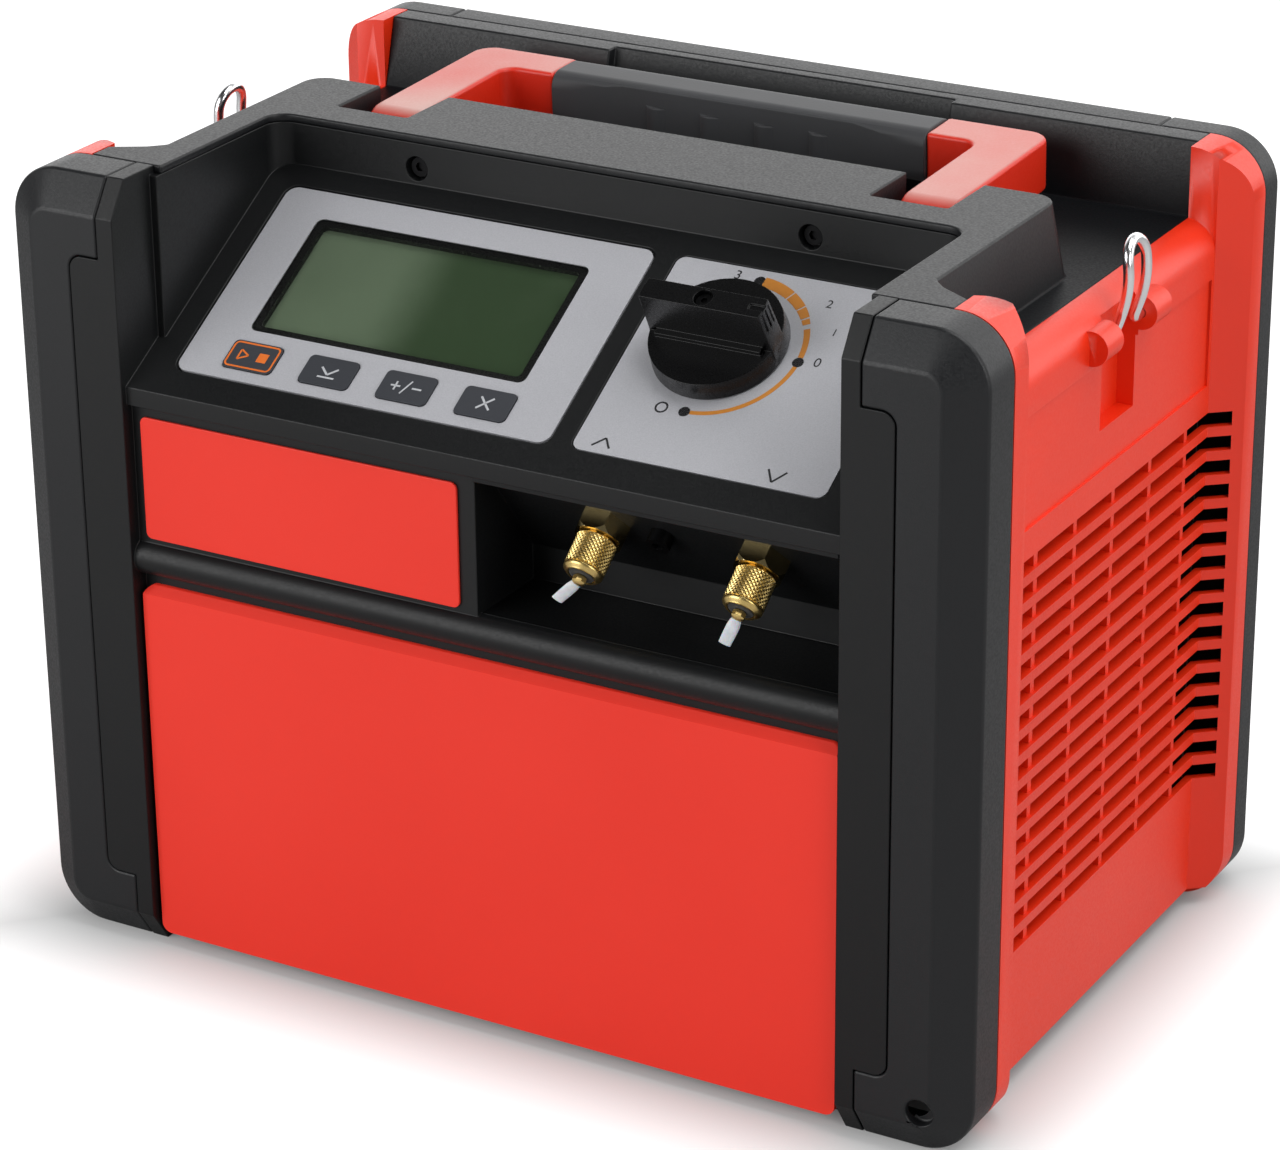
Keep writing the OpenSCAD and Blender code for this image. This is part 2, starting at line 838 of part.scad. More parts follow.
module rear_scoop(t) {
    // Hand clearance in the top edge of the rear wall, set out by t
    foot = body_h - scoop_h - t;
    slope = (inner_wall_d[1] - inner_wall_d[0]) / (body_h - tray_z);
    along_x(-scoop_half - t, scoop_half + t)
        polygon([[inner_wall_d[0] - 1, foot],
                 [inner_wall_d[0] + slope * (foot - tray_z) + scoop_d + t, foot],
                 [inner_wall_d[1] + scoop_d + t, body_h + 1],
                 [inner_wall_d[0] - 1, body_h + 1]]);
}

module rear_cover() {
    // Rear moulding between the rear bumpers, with a shallow plain field and the power openings
    half = seam_in;
    foot = front_panel_z[0];
    color(black_plastic)
        difference() {
            translate([0, -front_y, 0])
                mirror([0, 1, 0])
                    difference() {
                        intersection() {
                            frame_solid(rear_bumper_d);
                            union() {
                                translate([-half, -1, foot])
                                    cube([2 * half, rear_bumper_d + 1, body_h]);
                                for (sx = [0, 1])
                                    mirror([sx, 0, 0])
                                        step_solid(shell_wall + 1, 0);
                            }
                        }
                        difference() {
                            frame_solid(rear_bumper_d + 1, rear_wall_t);
                            translate([-half, 0, 0])
                                cube([2 * half, rear_bumper_d + 1, foot + shell_wall]);
                        }
                    }
            translate([0, -front_y - field_d, body_h / 2])
                rotate([-90, 0, 0])
                    linear_extrude(field_d + 1)
                        rounded_square(field_size, 8);
            at_inlet()
                linear_extrude(40, center = true)
                    rounded_square(inlet_size + [0.4, 0.4], 2);
            at_switch()
                cube([switch_size[0] + 0.4, switch_size[1] + 0.4, 40], center = true);
        }
}

module at_inlet() {
    // Places its children on the recessed rear field with local z to the back
    translate([inlet_mid[0], -front_y - field_d, inlet_mid[1]])
        rotate([-90, 180, 0])
            children();
}

module at_switch() {
    translate([switch_mid[0], -front_y - field_d, switch_mid[1]])
        rotate([-90, 180, 0])
            children();
}

module mains_inlet() {
    // Three-pole appliance inlet with a flange, a deep socket and three blades
    flange = [38, 27];
    socket = [24.2, 16.2];
    socket_d = 17;
    color(soft_black)
        at_inlet()
            difference() {
                union() {
                    linear_extrude(2)
                        rounded_square(flange, 3);
                    translate([0, 0, -socket_d - 2])
                        linear_extrude(socket_d + 3)
                            rounded_square(inlet_size, 2);
                }
                translate([0, 0, -socket_d])
                    linear_extrude(socket_d + 3)
                        rounded_square(socket, 3);
            }
    color(steel)
        at_inlet()
            for (pin = [[0, 2.5], [-7, -2], [7, -2]])
                translate([pin[0], pin[1], -socket_d + 5])
                    cube([2, 4, 12], center = true);
}

module switch_frame() {
    color(soft_black)
        at_switch()
            difference() {
                union() {
                    translate([0, 0, 0.75])
                        cube([switch_size[0] + 4, switch_size[1] + 3, 1.5], center = true);
                    translate([0, 0, -9])
                        cube([switch_size[0], switch_size[1], 18], center = true);
                }
                translate([0, 0, -3])
                    cube([switch_size[0] - 3, switch_size[1] - 3, 12], center = true);
            }
}

module switch_rocker() {
    // Rocker seen from behind, tilted to its off position
    w = switch_size[0] - 3.6;
    h = switch_size[1] - 3.6;
    color(soft_black)
        at_switch()
            translate([0, 0, -3])
                rotate([0, rocker_tilt, 0])
                    intersection() {
                        translate([0, 0, 0.5])
                            cube([w, h, 8], center = true);
                        rotate([90, 0, 0])
                            cylinder(r = w / 2 - 0.3, h = h, center = true);
                    }
}

module handle_space() {
    // Handle frame at rest: local origin on the pivot axis, local y to the back
    translate([0, dep(pivot_d), pivot_z])
        rotate([handle_tilt, 0, 0])
            children();
}

module handle_plan() {
    inner = handle_w / 2 - arm_w;
    r_out = 9;
    r_in = 6;
    difference() {
        union() {
            translate([-handle_w / 2, 0])
                square([handle_w, handle_len - r_out]);
            translate([r_out - handle_w / 2, 0])
                square([handle_w - 2 * r_out, handle_len]);
            for (sx = [-1, 1])
                translate([sx * (handle_w / 2 - r_out), handle_len - r_out])
                    circle(r_out);
        }
        translate([-inner, -1])
            square([2 * inner, handle_len - bar_d - r_in + 1]);
        translate([r_in - inner, -1])
            square([2 * (inner - r_in), handle_len - bar_d + 1]);
        for (sx = [-1, 1])
            translate([sx * (inner - r_in), handle_len - bar_d - r_in])
                circle(r_in);
    }
}

module handle_core(t) {
    // Core bar inside the grip, set out by t
    translate([0, handle_len - bar_d / 2, 0])
        cube([grip_len + 2 * eps, 12 + 2 * t, 10 + 2 * t], center = true);
}

module handle_frame() {
    color(red_plastic)
        handle_space()
            difference() {
                union() {
                    difference() {
                        translate([0, 0, -arm_t / 2])
                            linear_extrude(arm_t)
                                handle_plan();
                        translate([0, handle_len - bar_d / 2, 0])
                            cube([grip_len, 3 * bar_d, 2 * arm_t], center = true);
                    }
                    handle_core(0);
                    for (sx = [-1, 1])
                        translate([sx * (handle_w - arm_w) / 2, 0, 0])
                            rotate([0, 90, 0])
                                cylinder(r = arm_t / 2, h = arm_w, center = true);
                }
                rotate([0, 90, 0])
                    cylinder(r = pivot_r + running_gap, h = handle_w + 2, center = true);
            }
}

module handle_grip() {
    // Soft grip: waisted in plan, rounded in section, with finger bumps on its front
    half = grip_len / 2 - eps;
    full = bar_d / 2 + 1.5;
    waist = bar_d / 2 - 0.8;
    r = 6;
    color(soft_black)
        handle_space()
            translate([0, handle_len - bar_d / 2, 0])
                difference() {
                    union() {
                        intersection() {
                            translate([0, 0, -arm_t])
                                linear_extrude(2 * arm_t)
                                    polygon([[-half, -full], [12 - half, -full], [30 - half, -waist],
                                             [half - 30, -waist],
                                             [half - 12, -full], [half, -full], [half, full], [half - 12, full],
                                             [half - 30, waist], [30 - half, waist],
                                             [12 - half, full], [-half, full]]);
                            translate([-half, 0, 0])
                                rotate([90, 0, 90])
                                    linear_extrude(2 * half)
                                        rounded_square([2 * full, arm_t + 1], r);
                        }
                        for (i = [-1.5 : 1 : 1.5])
                            translate([i * 22.7, 5 - waist, -3])
                                cylinder(r = 6.6, h = 11, center = true);
                    }
                    translate([0, bar_d / 2 - handle_len, 0])
                        handle_core(0);
                }
}

module handle_pins() {
    color(steel)
        translate([0, dep(pivot_d), pivot_z])
            for (sx = [-1, 1])
                translate([sx * (notch_x[0] + notch_x[1]) / 2, 0, 0])
                    rotate([0, 90, 0])
                        cylinder(r = pivot_r, h = notch_x[1] - notch_x[0] + 2 * deck_wall, center = true);
}

module display_overlay() {
    color(silver_foil)
        on_panel(0, 0, -foil_pocket)
            linear_extrude(foil_t)
                difference() {
                    translate(overlay_mid)
                        rounded_square(overlay_size, 4.5);
                    translate(window_mid)
                        rounded_square(window_size, 3);
                    for (i = [0 : 3])
                        translate([key_first + i * key_pitch, key_row])
                            rounded_square(key_size + [0.5, 0.5], 2.2);
                }
}

module display_lens() {
    color("#8fa08a")
        on_panel(window_mid[0], window_mid[1], -foil_pocket)
            linear_extrude(foil_t - 0.2)
                rounded_square(window_size - [0.3, 0.3], 2.8);
}

module lcd_module() {
    // Display glass and its holder, against the back of the control panel
    holder = [window_size[0] + 10, window_size[1] + 11.5, lcd_t];
    color("#3d4a3a")
        on_panel(window_mid[0], window_mid[1], -panel_t - holder[2])
            linear_extrude(holder[2])
                rounded_square([holder[0], holder[1]], 3);
}

module control_board() {
    // Circuit board behind the display, on spacers
    board = [overlay_size[0] - 13.5, overlay_size[1] - 9.3, 1.6];
    color("#2f6b45")
        on_panel(window_mid[0], window_mid[1] - 4, -panel_t - lcd_t - board[2]) {
            linear_extrude(board[2])
                rounded_square([board[0], board[1]], 2);
            translate([-30, 0, -12])
                linear_extrude(12)
                    rounded_square([44, 30], 2);
            translate([40, 12, -8])
                linear_extrude(8)
                    rounded_square([26, 18], 1.5);
        }
}

module membrane_key(i) {
    // Raised membrane key over its dome, just clear of the overlay
    color(key_grey)
        on_panel(key_first + i * key_pitch, key_row, -foil_pocket + key_travel + 0.15)
            union() {
                linear_extrude(1.1)
                    rounded_square(key_size, 2);
                translate([0, 0, -0.4])
                    linear_extrude(0.5)
                        rounded_square(key_size - [4, 4], 1);
            }
}

module key_1() { membrane_key(0); }
module key_2() { membrane_key(1); }
module key_3() { membrane_key(2); }
module key_4() { membrane_key(3); }

module dial_plate() {
    color(silver_foil)
        on_panel(0, 0, -foil_pocket)
            linear_extrude(foil_t)
                difference() {
                    translate(dial_mid)
                        rounded_square(dial_size, 3.5);
                    translate(knob_mid)
                        circle(stem_r + 2.5);
                }
}

module valve_knob() {
    // Round skirt with a bar grip across it and a screw well in the middle
    bar_w = 8.5;
    bar_l = 2 * knob_r - 1;
    well_r = 3.4;
    color(soft_black)
        on_panel(knob_mid[0], knob_mid[1], knob_lift)
            difference() {
                union() {
                    cylinder(r1 = knob_r, r2 = knob_r - 0.6, h = knob_skirt);
                    intersection() {
                        translate([0, 0, knob_h / 2])
                            cube([bar_l, bar_w, knob_h], center = true);
                        cylinder(r1 = knob_r, r2 = knob_r - 1.2, h = knob_h);
                    }
                    translate([0, 0, knob_skirt + 0.8])
                        cube([bar_l - 7, bar_w + 5, 1.6], center = true);
                }
                translate([0, 0, -1])
                    cylinder(r = stem_r, h = stem_seat + 1);
                cylinder(r = spigot_r, h = spigot_end);
                translate([0, 0, knob_h - 3.4])
                    cylinder(r = well_r, h = 5);
                cylinder(r = 1.6, h = knob_h);
                translate([knob_r - 3, 0, knob_h])
                    cube([8, 2.4, 1.4], center = true);
                for (i = [-1 : 1])
                    translate([knob_r, i * 2.4, knob_h - 5])
                        cube([3, 0.9, 8], center = true);
            }
}

module knob_screw() {
    color(steel)
        on_panel(knob_mid[0], knob_mid[1], knob_lift + knob_h - 3.4)
            difference() {
                union() {
                    cylinder(r = 2.9, h = 1.8);
                    translate([0, 0, -4.4])
                        cylinder(r = 1.5, h = 5);
                }
                translate([0, 0, 0.9])
                    cylinder(r = 1.3, h = 2, $fn = 6);
            }
}

module valve_stem() {
    color(steel)
        on_panel(knob_mid[0], knob_mid[1], -24)
            union() {
                cylinder(r = stem_r, h = 24 + knob_lift + stem_seat);
                cylinder(r = spigot_r, h = 24 + knob_lift + spigot_end);
            }
}

module valve_body() {
    // Selector valve behind the dial, with its bonnet against the panel
    color(brass)
        on_panel(knob_mid[0], knob_mid[1], -panel_t)
            difference() {
                union() {
                    translate([0, 0, -12])
                        cylinder(r = 15, h = 12);
                    translate([0, 0, -31])
                        cube([52, 40, 38], center = true);
                    for (sx = [-1, 1])
                        translate([sx * 26, 0, -34])
                            rotate([0, sx * 90, 0])
                                cylinder(r = 8, h = 8);
                }
                translate([0, 0, -24])
                    cylinder(r = stem_r + running_gap, h = 30);
            }
}

module port_block() {
    // Manifold block behind the sloped port wall
    size = [port_pitch + 30, 26, 22];
    color(cast_grey)
        at_port(port_mid_x)
            difference() {
                translate([0, 0, -shell_wall - size[2] / 2])
                    cube(size, center = true);
                for (sx = [-1, 1])
                    translate([sx * port_pitch / 2, 0, -shell_wall - 8])
                        cylinder(r = port_r + 1.5, h = 20);
                translate([-8.5, 0, -shell_wall - 6])
                    cylinder(r = 2.5, h = 20);
            }
}

module port_fitting(x) {
    // Flare fitting: hexagon against the wall, shank through it and the threaded nose
    color(brass)
        at_port(x)
            union() {
                translate([0, 0, -shell_wall - 8])
                    cylinder(r = port_r + 1.5, h = shell_wall + 8.5);
                intersection() {
                    cylinder(r = hex_af / 2 / cos(30), h = hex_h, $fn = 6);
                    cylinder(r1 = hex_af / 2 + 4, r2 = hex_af / 2 + 0.2, h = hex_h);
                }
                cylinder(r = port_r, h = thread_end);
            }
}

module port_cap(x) {
    // Knurled screw cap with a turned end flange and an open middle
    bore_end = cap_len - 2.6;
    color(brass)
        at_port(x)
            translate([0, 0, cap_seat])
                difference() {
                    union() {
                        cylinder(r = cap_r, h = cap_len - 3);
                        translate([0, 0, cap_len - 3.2])
                            cylinder(r = cap_r - 0.9, h = 1.4);
                        translate([0, 0, cap_len - 2])
                            cylinder(r1 = cap_r + 0.1, r2 = cap_r - 0.6, h = 2);
                    }
                    translate([0, 0, -1])
                        cylinder(r = port_r + running_gap, h = bore_end + 1);
                    translate([0, 0, cap_len - 1.4])
                        cylinder(r = cap_r - 2.2, h = 3);
                    cylinder(r = 1.7 + running_gap, h = cap_len + 2);
                }
}

module port_strap(x, aside) {
    // Tether button in the cap end: pin, tip and the soft tail that hangs down and aside by this angle
    across = -sin(aside);
    up = -cos(aside) * cos(port_dip);
    out = cos(aside) * sin(port_dip);
    color("#d8dade")
        at_port(x)
            translate([0, 0, cap_seat])
                union() {
                    translate([0, 0, cap_len - 2.5])
                        cylinder(r = 1.7, h = 3);
                    translate([0, 0, cap_len + 0.3])
                        cylinder(r = 2.4, h = 3.2);
                    translate([0, 0, cap_len + 2])
                        rotate([0, acos(out), atan2(up, across)])
                            translate([-0.8, -2.3, 0])
                                cube([1.6, 4.6, 12.5]);
                }
}

module inlet_fitting() { port_fitting(port_mid_x - port_pitch / 2); }
module outlet_fitting() { port_fitting(port_mid_x + port_pitch / 2); }
module inlet_cap() { port_cap(port_mid_x - port_pitch / 2); }
module outlet_cap() { port_cap(port_mid_x + port_pitch / 2); }
module inlet_strap() { port_strap(port_mid_x - port_pitch / 2, 45); }
module outlet_strap() { port_strap(port_mid_x + port_pitch / 2, 25); }

module port_screw() {
    color(soft_black)
        at_port(port_mid_x - 8.5)
            difference() {
                union() {
                    cylinder(r = 4.4, h = 5);
                    translate([0, 0, -shell_wall - 6])
                        cylinder(r = 2.5, h = shell_wall + 6.5);
                }
                translate([0, 0, 2.2])
                    cylinder(r = 2.3, h = 4, $fn = 6);
            }
}

module strap_hook() {
    // Wire loop that pivots in the lugs of the right side shell
    leg = hook_h - wire_r - hook_half;
    translate([hook_pivot_x, dep(hook_d), hook_pivot_z])
        rotate([0, -hook_lean, 0]) {
            translate([0, 0, leg])
                rotate([90, 0, 90])
                    rotate_extrude(angle = 180)
                        translate([hook_half, 0])
                            circle(wire_r);
            for (sy = [-1, 1]) {
                translate([0, sy * hook_half, 0])
                    cylinder(r = wire_r, h = leg);
                translate([0, sy * hook_half, 0])
                    sphere(wire_r);
                translate([0, sy * (hook_half + channel_half + 9) / 2, 0])
                    rotate([90, 0, 0])
                        cylinder(r = wire_r, h = channel_half + 9 - hook_half, center = true);
            }
        }
}

module hook_right() {
    color(steel)
        strap_hook();
}

module hook_left() {
    color(steel)
        mirror([1, 0, 0])
            strap_hook();
}

module fascia_screws() {
    color(soft_black)
        fascia_screw_places()
            translate([0, 0, -shell_wall - 2])
                difference() {
                    union() {
                        cylinder(r = 3.6, h = 2.6);
                        translate([0, 0, -9])
                            cylinder(r = 2, h = 10);
                    }
                    translate([0, 0, 1.2])
                        cylinder(r = 1.8, h = 3, $fn = 6);
                }
}

module crankcase() {
    // Cast crankcase between the two opposed cylinder heads
    color(cast_grey)
        union() {
            translate([0, dep(motor_d[1] + crank_len / 2), motor_z])
                cube([crank_w, crank_len, 84], center = true);
            translate([0, dep(motor_d[1] + crank_len), motor_z])
                rotate([-90, 0, 0])
                    cylinder(r = 30, h = 8);
            for (sx = [-1, 1])
                translate([sx * (crank_w / 2 + 8), dep(motor_d[1] + crank_len / 2), motor_z])
                    rotate([0, 90, 0])
                        cylinder(r = 24, h = 16, center = true);
            translate([0, dep(motor_d[1] + crank_len / 2), (motor_z - 42 + inner_floor + 14) / 2])
                cube([crank_w + 10, 30, motor_z - 42 - inner_floor - 14], center = true);
        }
}

module cylinder_head(sx) {
    // Finned head at the end of one cylinder
    fins = 5;
    pitch = 5;
    color(cast_grey)
        translate([sx * (crank_w / 2 + 16), dep(motor_d[1] + crank_len / 2), motor_z])
            rotate([0, sx * 90, 0])
                union() {
                    cylinder(r = 20, h = fins * pitch + 3);
                    for (i = [0 : fins - 1])
                        translate([0, 0, i * pitch + 1.5])
                            cube([56, 52, 2.5], center = true);
                    translate([0, 0, fins * pitch + 5])
                        cube([56, 52, 8], center = true);
                }
}

module cylinder_head_left() { cylinder_head(-1); }
module cylinder_head_right() { cylinder_head(1); }

module compressor_motor() {
    color(soft_black)
        translate([0, dep(motor_d[0]), motor_z])
            rotate([-90, 0, 0])
                union() {
                    cylinder(r = motor_r, h = motor_d[1] - motor_d[0]);
                    translate([0, 0, -6])
                        cylinder(r = motor_r - 12, h = 8);
                    for (a = [0 : 30 : 330])
                        rotate([0, 0, a])
                            translate([motor_r, 0, (motor_d[1] - motor_d[0]) / 2])
                                cube([6, 3, motor_d[1] - motor_d[0] - 20], center = true);
                }
}

module motor_mounts() {
    // Four rubber mounts between the crankcase foot, the motor foot rail and the floor
    foot_y = dep(motor_d[1] + crank_len / 2);
    color(soft_black)
        for (sx = [-1, 1])
            for (sy = [-1, 1])
                translate([sx * (crank_w / 2 - 4), foot_y + sy * 8, inner_floor])
                    cylinder(r = 6.5, h = 14);
}

module fan_shroud() {
    // Square fan plate standing on the floor, with a ring and a spider for the motor
    plate = 4;
    side = 2 * fan_r + 16;
    ring_r = fan_r + 3;
    color(soft_black)
        translate([fan_x - 14, dep(fan_d), fan_z])
            rotate([0, 90, 0])
                difference() {
                    union() {
                        translate([(fan_z - inner_floor - side / 2) / 2, 0, plate / 2])
                            cube([fan_z - inner_floor + side / 2, side, plate], center = true);
                        cylinder(r = ring_r + 2.5, h = 12);
                    }
                    difference() {
                        translate([0, 0, -1])
                            cylinder(r = ring_r, h = 20);
                        for (a = [45, 135])
                            rotate([0, 0, a])
                                translate([0, 0, 2])
                                    cube([2 * ring_r + 2, 8, plate], center = true);
                        cylinder(r = 26, h = plate);
                    }
                    translate([0, 0, -1])
                        cylinder(r = 5, h = 20);
                }
}

module fan_motor() {
    color(cast_grey)
        translate([fan_x - 14, dep(fan_d), fan_z])
            rotate([0, -90, 0])
                cylinder(r = 22, h = 34);
}

module fan_blades() {
    // Hub with flat pitched blades and the shaft that runs in the motor plate
    pitch_angle = 32;
    color(black_plastic)
        translate([fan_x, dep(fan_d), fan_z])
            rotate([0, 90, 0])
                union() {
                    translate([0, 0, -8])
                        cylinder(r = 20, h = 12);
                    translate([0, 0, -13.7])
                        cylinder(r = 5 - running_gap, h = 8);
                    for (i = [0 : fan_blade_count - 1])
                        rotate([0, 0, i * 360 / fan_blade_count])
                            translate([(fan_r + 18) / 2, 0, -2])
                                rotate([pitch_angle, 0, 0])
                                    cube([fan_r - 18, 18, 1.8], center = true);
                }
}

module condenser() {
    // Fin and tube coil behind the left grille, standing on the floor
    size = coil_size;
    fins = 22;
    pitch = size[1] / fins;
    color(steel)
        translate([coil_x, dep(fan_d), inner_floor + size[2] / 2])
            union() {
                for (i = [0 : fins])
                    translate([0, (i - fins / 2) * pitch, 0])
                        cube([size[0], 1.2, size[2]], center = true);
                for (row = [-3 : 3])
                    translate([0, 0, row * coil_row])
                        rotate([90, 0, 0])
                            cylinder(r = 4.5, h = 2 * coil_tube_end, center = true);
                translate([0, 0, 2 - size[2] / 2])
                    cube([size[0], size[1], 4], center = true);
            }
}

module pipe_run(points, r) {
    // Bent pipe: straight runs joined by round corners
    for (i = [0 : len(points) - 2]) {
        run = points[i + 1] - points[i];
        length = norm(run);
        translate(points[i])
            rotate([0, acos(run[2] / length), atan2(run[1], run[0])])
                cylinder(r = r, h = length);
        if (i > 0)
            translate(points[i])
                sphere(r);
    }
}

module suction_pipe() {
    // From the port block back to the right cylinder head
    head_y = dep(motor_d[1] + crank_len / 2);
    head_x = crank_w / 2 + 45;
    start = [port_mid_x + 34, dep(recess_back + 24), recess_step_z + 46];
    color(copper)
        pipe_run([start, [start[0], start[1], motor_z + 70], [start[0], head_y, motor_z + 70],
                  [head_x, head_y, motor_z + 70], [head_x, head_y, motor_z + 28]], pipe_r);
}

module discharge_pipe() {
    // From the left cylinder head across to the condenser
    head_y = dep(motor_d[1] + crank_len / 2);
    head_x = -crank_w / 2 - 45;
    coil_y = dep(fan_d + coil_tube_end) + pipe_r;
    coil_z = inner_floor + coil_size[2] / 2 + 3 * coil_row;
    color(copper)
        pipe_run([[head_x, head_y, motor_z + 28], [head_x, head_y, coil_z], [head_x, coil_y, coil_z],
                  [coil_x, coil_y, coil_z]], pipe_r);
}

base_tray();
front_fascia();
front_panel();
label_plate();
front_bumper_left();
front_bumper_right();
rear_bumper_left();
rear_bumper_right();
side_panel_left();
side_panel_right();
top_cover();
rear_cover();
handle_frame();
handle_grip();
handle_pins();
display_overlay();
display_lens();
lcd_module();
control_board();
key_1();
key_2();
key_3();
key_4();
dial_plate();
valve_knob();
knob_screw();
valve_stem();
valve_body();
port_block();
inlet_fitting();
outlet_fitting();
inlet_cap();
outlet_cap();
inlet_strap();
outlet_strap();
port_screw();
hook_left();
hook_right();
fascia_screws();
crankcase();
cylinder_head_left();
cylinder_head_right();
compressor_motor();
motor_mounts();
fan_shroud();
fan_motor();
fan_blades();
condenser();
suction_pipe();
discharge_pipe();
mains_inlet();
switch_frame();
switch_rocker();
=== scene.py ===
"""Looks of the portable refrigerant recovery machine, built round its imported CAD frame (metres)."""

import json
import math

import bpy
from mathutils import Matrix, Vector


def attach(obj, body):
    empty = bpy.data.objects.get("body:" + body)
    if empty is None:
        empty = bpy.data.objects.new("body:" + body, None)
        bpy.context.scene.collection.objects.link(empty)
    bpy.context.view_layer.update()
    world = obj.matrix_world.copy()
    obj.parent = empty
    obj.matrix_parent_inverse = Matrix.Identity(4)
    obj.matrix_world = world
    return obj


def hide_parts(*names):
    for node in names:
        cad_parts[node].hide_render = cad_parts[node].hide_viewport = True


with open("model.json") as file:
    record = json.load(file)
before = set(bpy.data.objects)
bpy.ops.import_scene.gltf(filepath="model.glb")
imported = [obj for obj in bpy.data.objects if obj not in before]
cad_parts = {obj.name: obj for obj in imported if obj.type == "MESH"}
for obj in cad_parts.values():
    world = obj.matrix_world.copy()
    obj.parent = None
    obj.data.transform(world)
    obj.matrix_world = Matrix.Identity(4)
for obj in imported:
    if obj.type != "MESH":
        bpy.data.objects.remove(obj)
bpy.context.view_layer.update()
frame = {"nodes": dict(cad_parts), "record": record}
MM = 0.001

# Sizes in mm and frames that the part gives: the sloped control panel, its keys and the two service ports
PANEL_SLOPE = math.radians(30.5)
PANEL_FOOT = Vector((0, -124.9, 223.5))
PANEL = Matrix.Translation(PANEL_FOOT * MM) @ Matrix.Rotation(PANEL_SLOPE, 4, "X")
PORT_DIP = math.radians(38)
PORT_TURN = Matrix.Rotation(math.radians(90) + PORT_DIP, 4, "X")
FRONT_Y = -127.5
RECESS_BACK = 42.5
RECESS_STEP_Z = 177.5
PORT_UP = 28
PORT_Y = FRONT_Y + RECESS_BACK - PORT_UP * math.sin(PORT_DIP)
PORT_Z = RECESS_STEP_Z + PORT_UP * math.cos(PORT_DIP)
INLET_X = 40.5
OUTLET_X = 102.1
CAP_SEAT = 7.4
CAP_LENGTH = 14.4
CAP_RADIUS = 7.25
CAP_BORE = 5.56
FOIL_TOP = -0.2
KNOB = (66.4, 66.6)
KEY_SIZE = (20.5, 12.5)
KEY_FIRST = -101.5
KEY_PITCH = 32.1
KEY_ROW = 23.3
KEY_TOP = 0.45
# Axis and radius of the side shells' rolled top edge, and the strap hooks' pivot and wire
ROLL_X = 170
ROLL_Z = 261
ROLL_RADIUS = 11.5
HOOK_PIVOT = (182, 7.3, 260.5)
WIRE_RADIUS = 1.9
# Printed ink, thick enough to stand clear of the face under it
INK_THICKNESS = 0.06


def port_frame(x):
    return Matrix.Translation((x * MM, PORT_Y * MM, PORT_Z * MM)) @ PORT_TURN


def on_panel(x, s, out):
    return PANEL @ Matrix.Translation((x * MM, s * MM, out * MM))


# Materials


def hex_colour(code):
    """Linear colour of an sRGB hex value."""
    parts = [int(code[i : i + 2], 16) / 255 for i in (1, 3, 5)]
    return [c / 12.92 if c <= 0.04045 else ((c + 0.055) / 1.055) ** 2.4 for c in parts] + [1]


def add_node(tree, kind, inputs=None, **settings):
    """Adds a shader node, sets it, and sets or links its inputs."""
    node = tree.nodes.new("ShaderNode" + kind)
    for name, value in settings.items():
        setattr(node, name, value)
    for name, value in (inputs or {}).items():
        if isinstance(value, bpy.types.NodeSocket):
            tree.links.new(value, node.inputs[name])
        else:
            node.inputs[name].default_value = value
    return node


def new_material(name):
    material = bpy.data.materials.new(name)
    material.use_nodes = True
    material.node_tree.nodes.clear()
    return material, material.node_tree


def moulded_plastic(name, dark, light, grain_mm, grain_depth, rough_low, rough_high,
                    ior=1.5, matt=None, dust=None):
    """Moulded ABS with a spark-eroded grain, or a film or paint: even colour, pebbled bump, soft gloss.

    The grain is drawn coarser than the real one, which is too fine to show in the render.
    matt gives two heights in mm: below the first the plastic keeps its dull tool finish, above the second
    hands have polished it. dust is the colour of a pale film on up-facing faces, part dry dust, part
    painted sheen.
    """
    material, tree = new_material(name)
    place = add_node(tree, "TexCoord").outputs["Object"]
    pebble = add_node(tree, "TexNoise", {"Vector": place, "Scale": 1 / (grain_mm * MM), "Detail": 2.0,
                                         "Roughness": 0.55})
    # Flow and handling marks, a few centimetres across
    cloud = add_node(tree, "TexNoise", {"Vector": place, "Scale": 1 / (70 * MM), "Detail": 3.0})
    tint = add_node(tree, "Mix", {"Factor": cloud.outputs["Fac"], "A": hex_colour(dark),
                                  "B": hex_colour(light)}, data_type="RGBA")
    colour = tint.outputs["Result"]
    # Pale film on the faces that look up: partly dry dust, partly a painted sheen
    if dust:
        facing = add_node(tree, "SeparateXYZ", {"Vector": add_node(tree, "TexCoord").outputs["Normal"]})
        upward_dust_and_sheen = add_node(tree, "MapRange", {"Value": facing.outputs["Z"], "From Min": 0.75,
                                             "From Max": 1.0, "To Min": 0.0, "To Max": 0.95})
        film = add_node(tree, "Math", {0: upward_dust_and_sheen.outputs["Result"], 1: cloud.outputs["Fac"]},
                        operation="MULTIPLY")
        veil = add_node(tree, "Mix", {"Factor": film.outputs["Value"], "A": colour,
                                      "B": hex_colour(dust)}, data_type="RGBA")
        colour = veil.outputs["Result"]
    gloss = add_node(tree, "MapRange", {"Value": pebble.outputs["Fac"], "From Min": 0.3, "From Max": 0.7,
                                        "To Min": rough_low, "To Max": rough_high})
    bump = add_node(tree, "Bump", {"Height": pebble.outputs["Fac"], "Strength": 0.35,
                                   "Distance": grain_depth * MM})
    shader = add_node(tree, "BsdfPrincipled", {"Base Color": colour, "IOR": ior,
                                               "Roughness": gloss.outputs["Result"],
                                               "Normal": bump.outputs["Normal"]})
    if matt:
        part = add_node(tree, "SeparateXYZ", {"Vector": place})
        polish = add_node(tree, "MapRange", {"Value": part.outputs["Z"], "From Min": matt[0] * MM,
                                             "From Max": matt[1] * MM, "To Min": 0.12, "To Max": 0.5})
        tree.links.new(polish.outputs["Result"], shader.inputs["Specular IOR Level"])
    add_node(tree, "OutputMaterial", {"Surface": shader.outputs["BSDF"]})
    return material


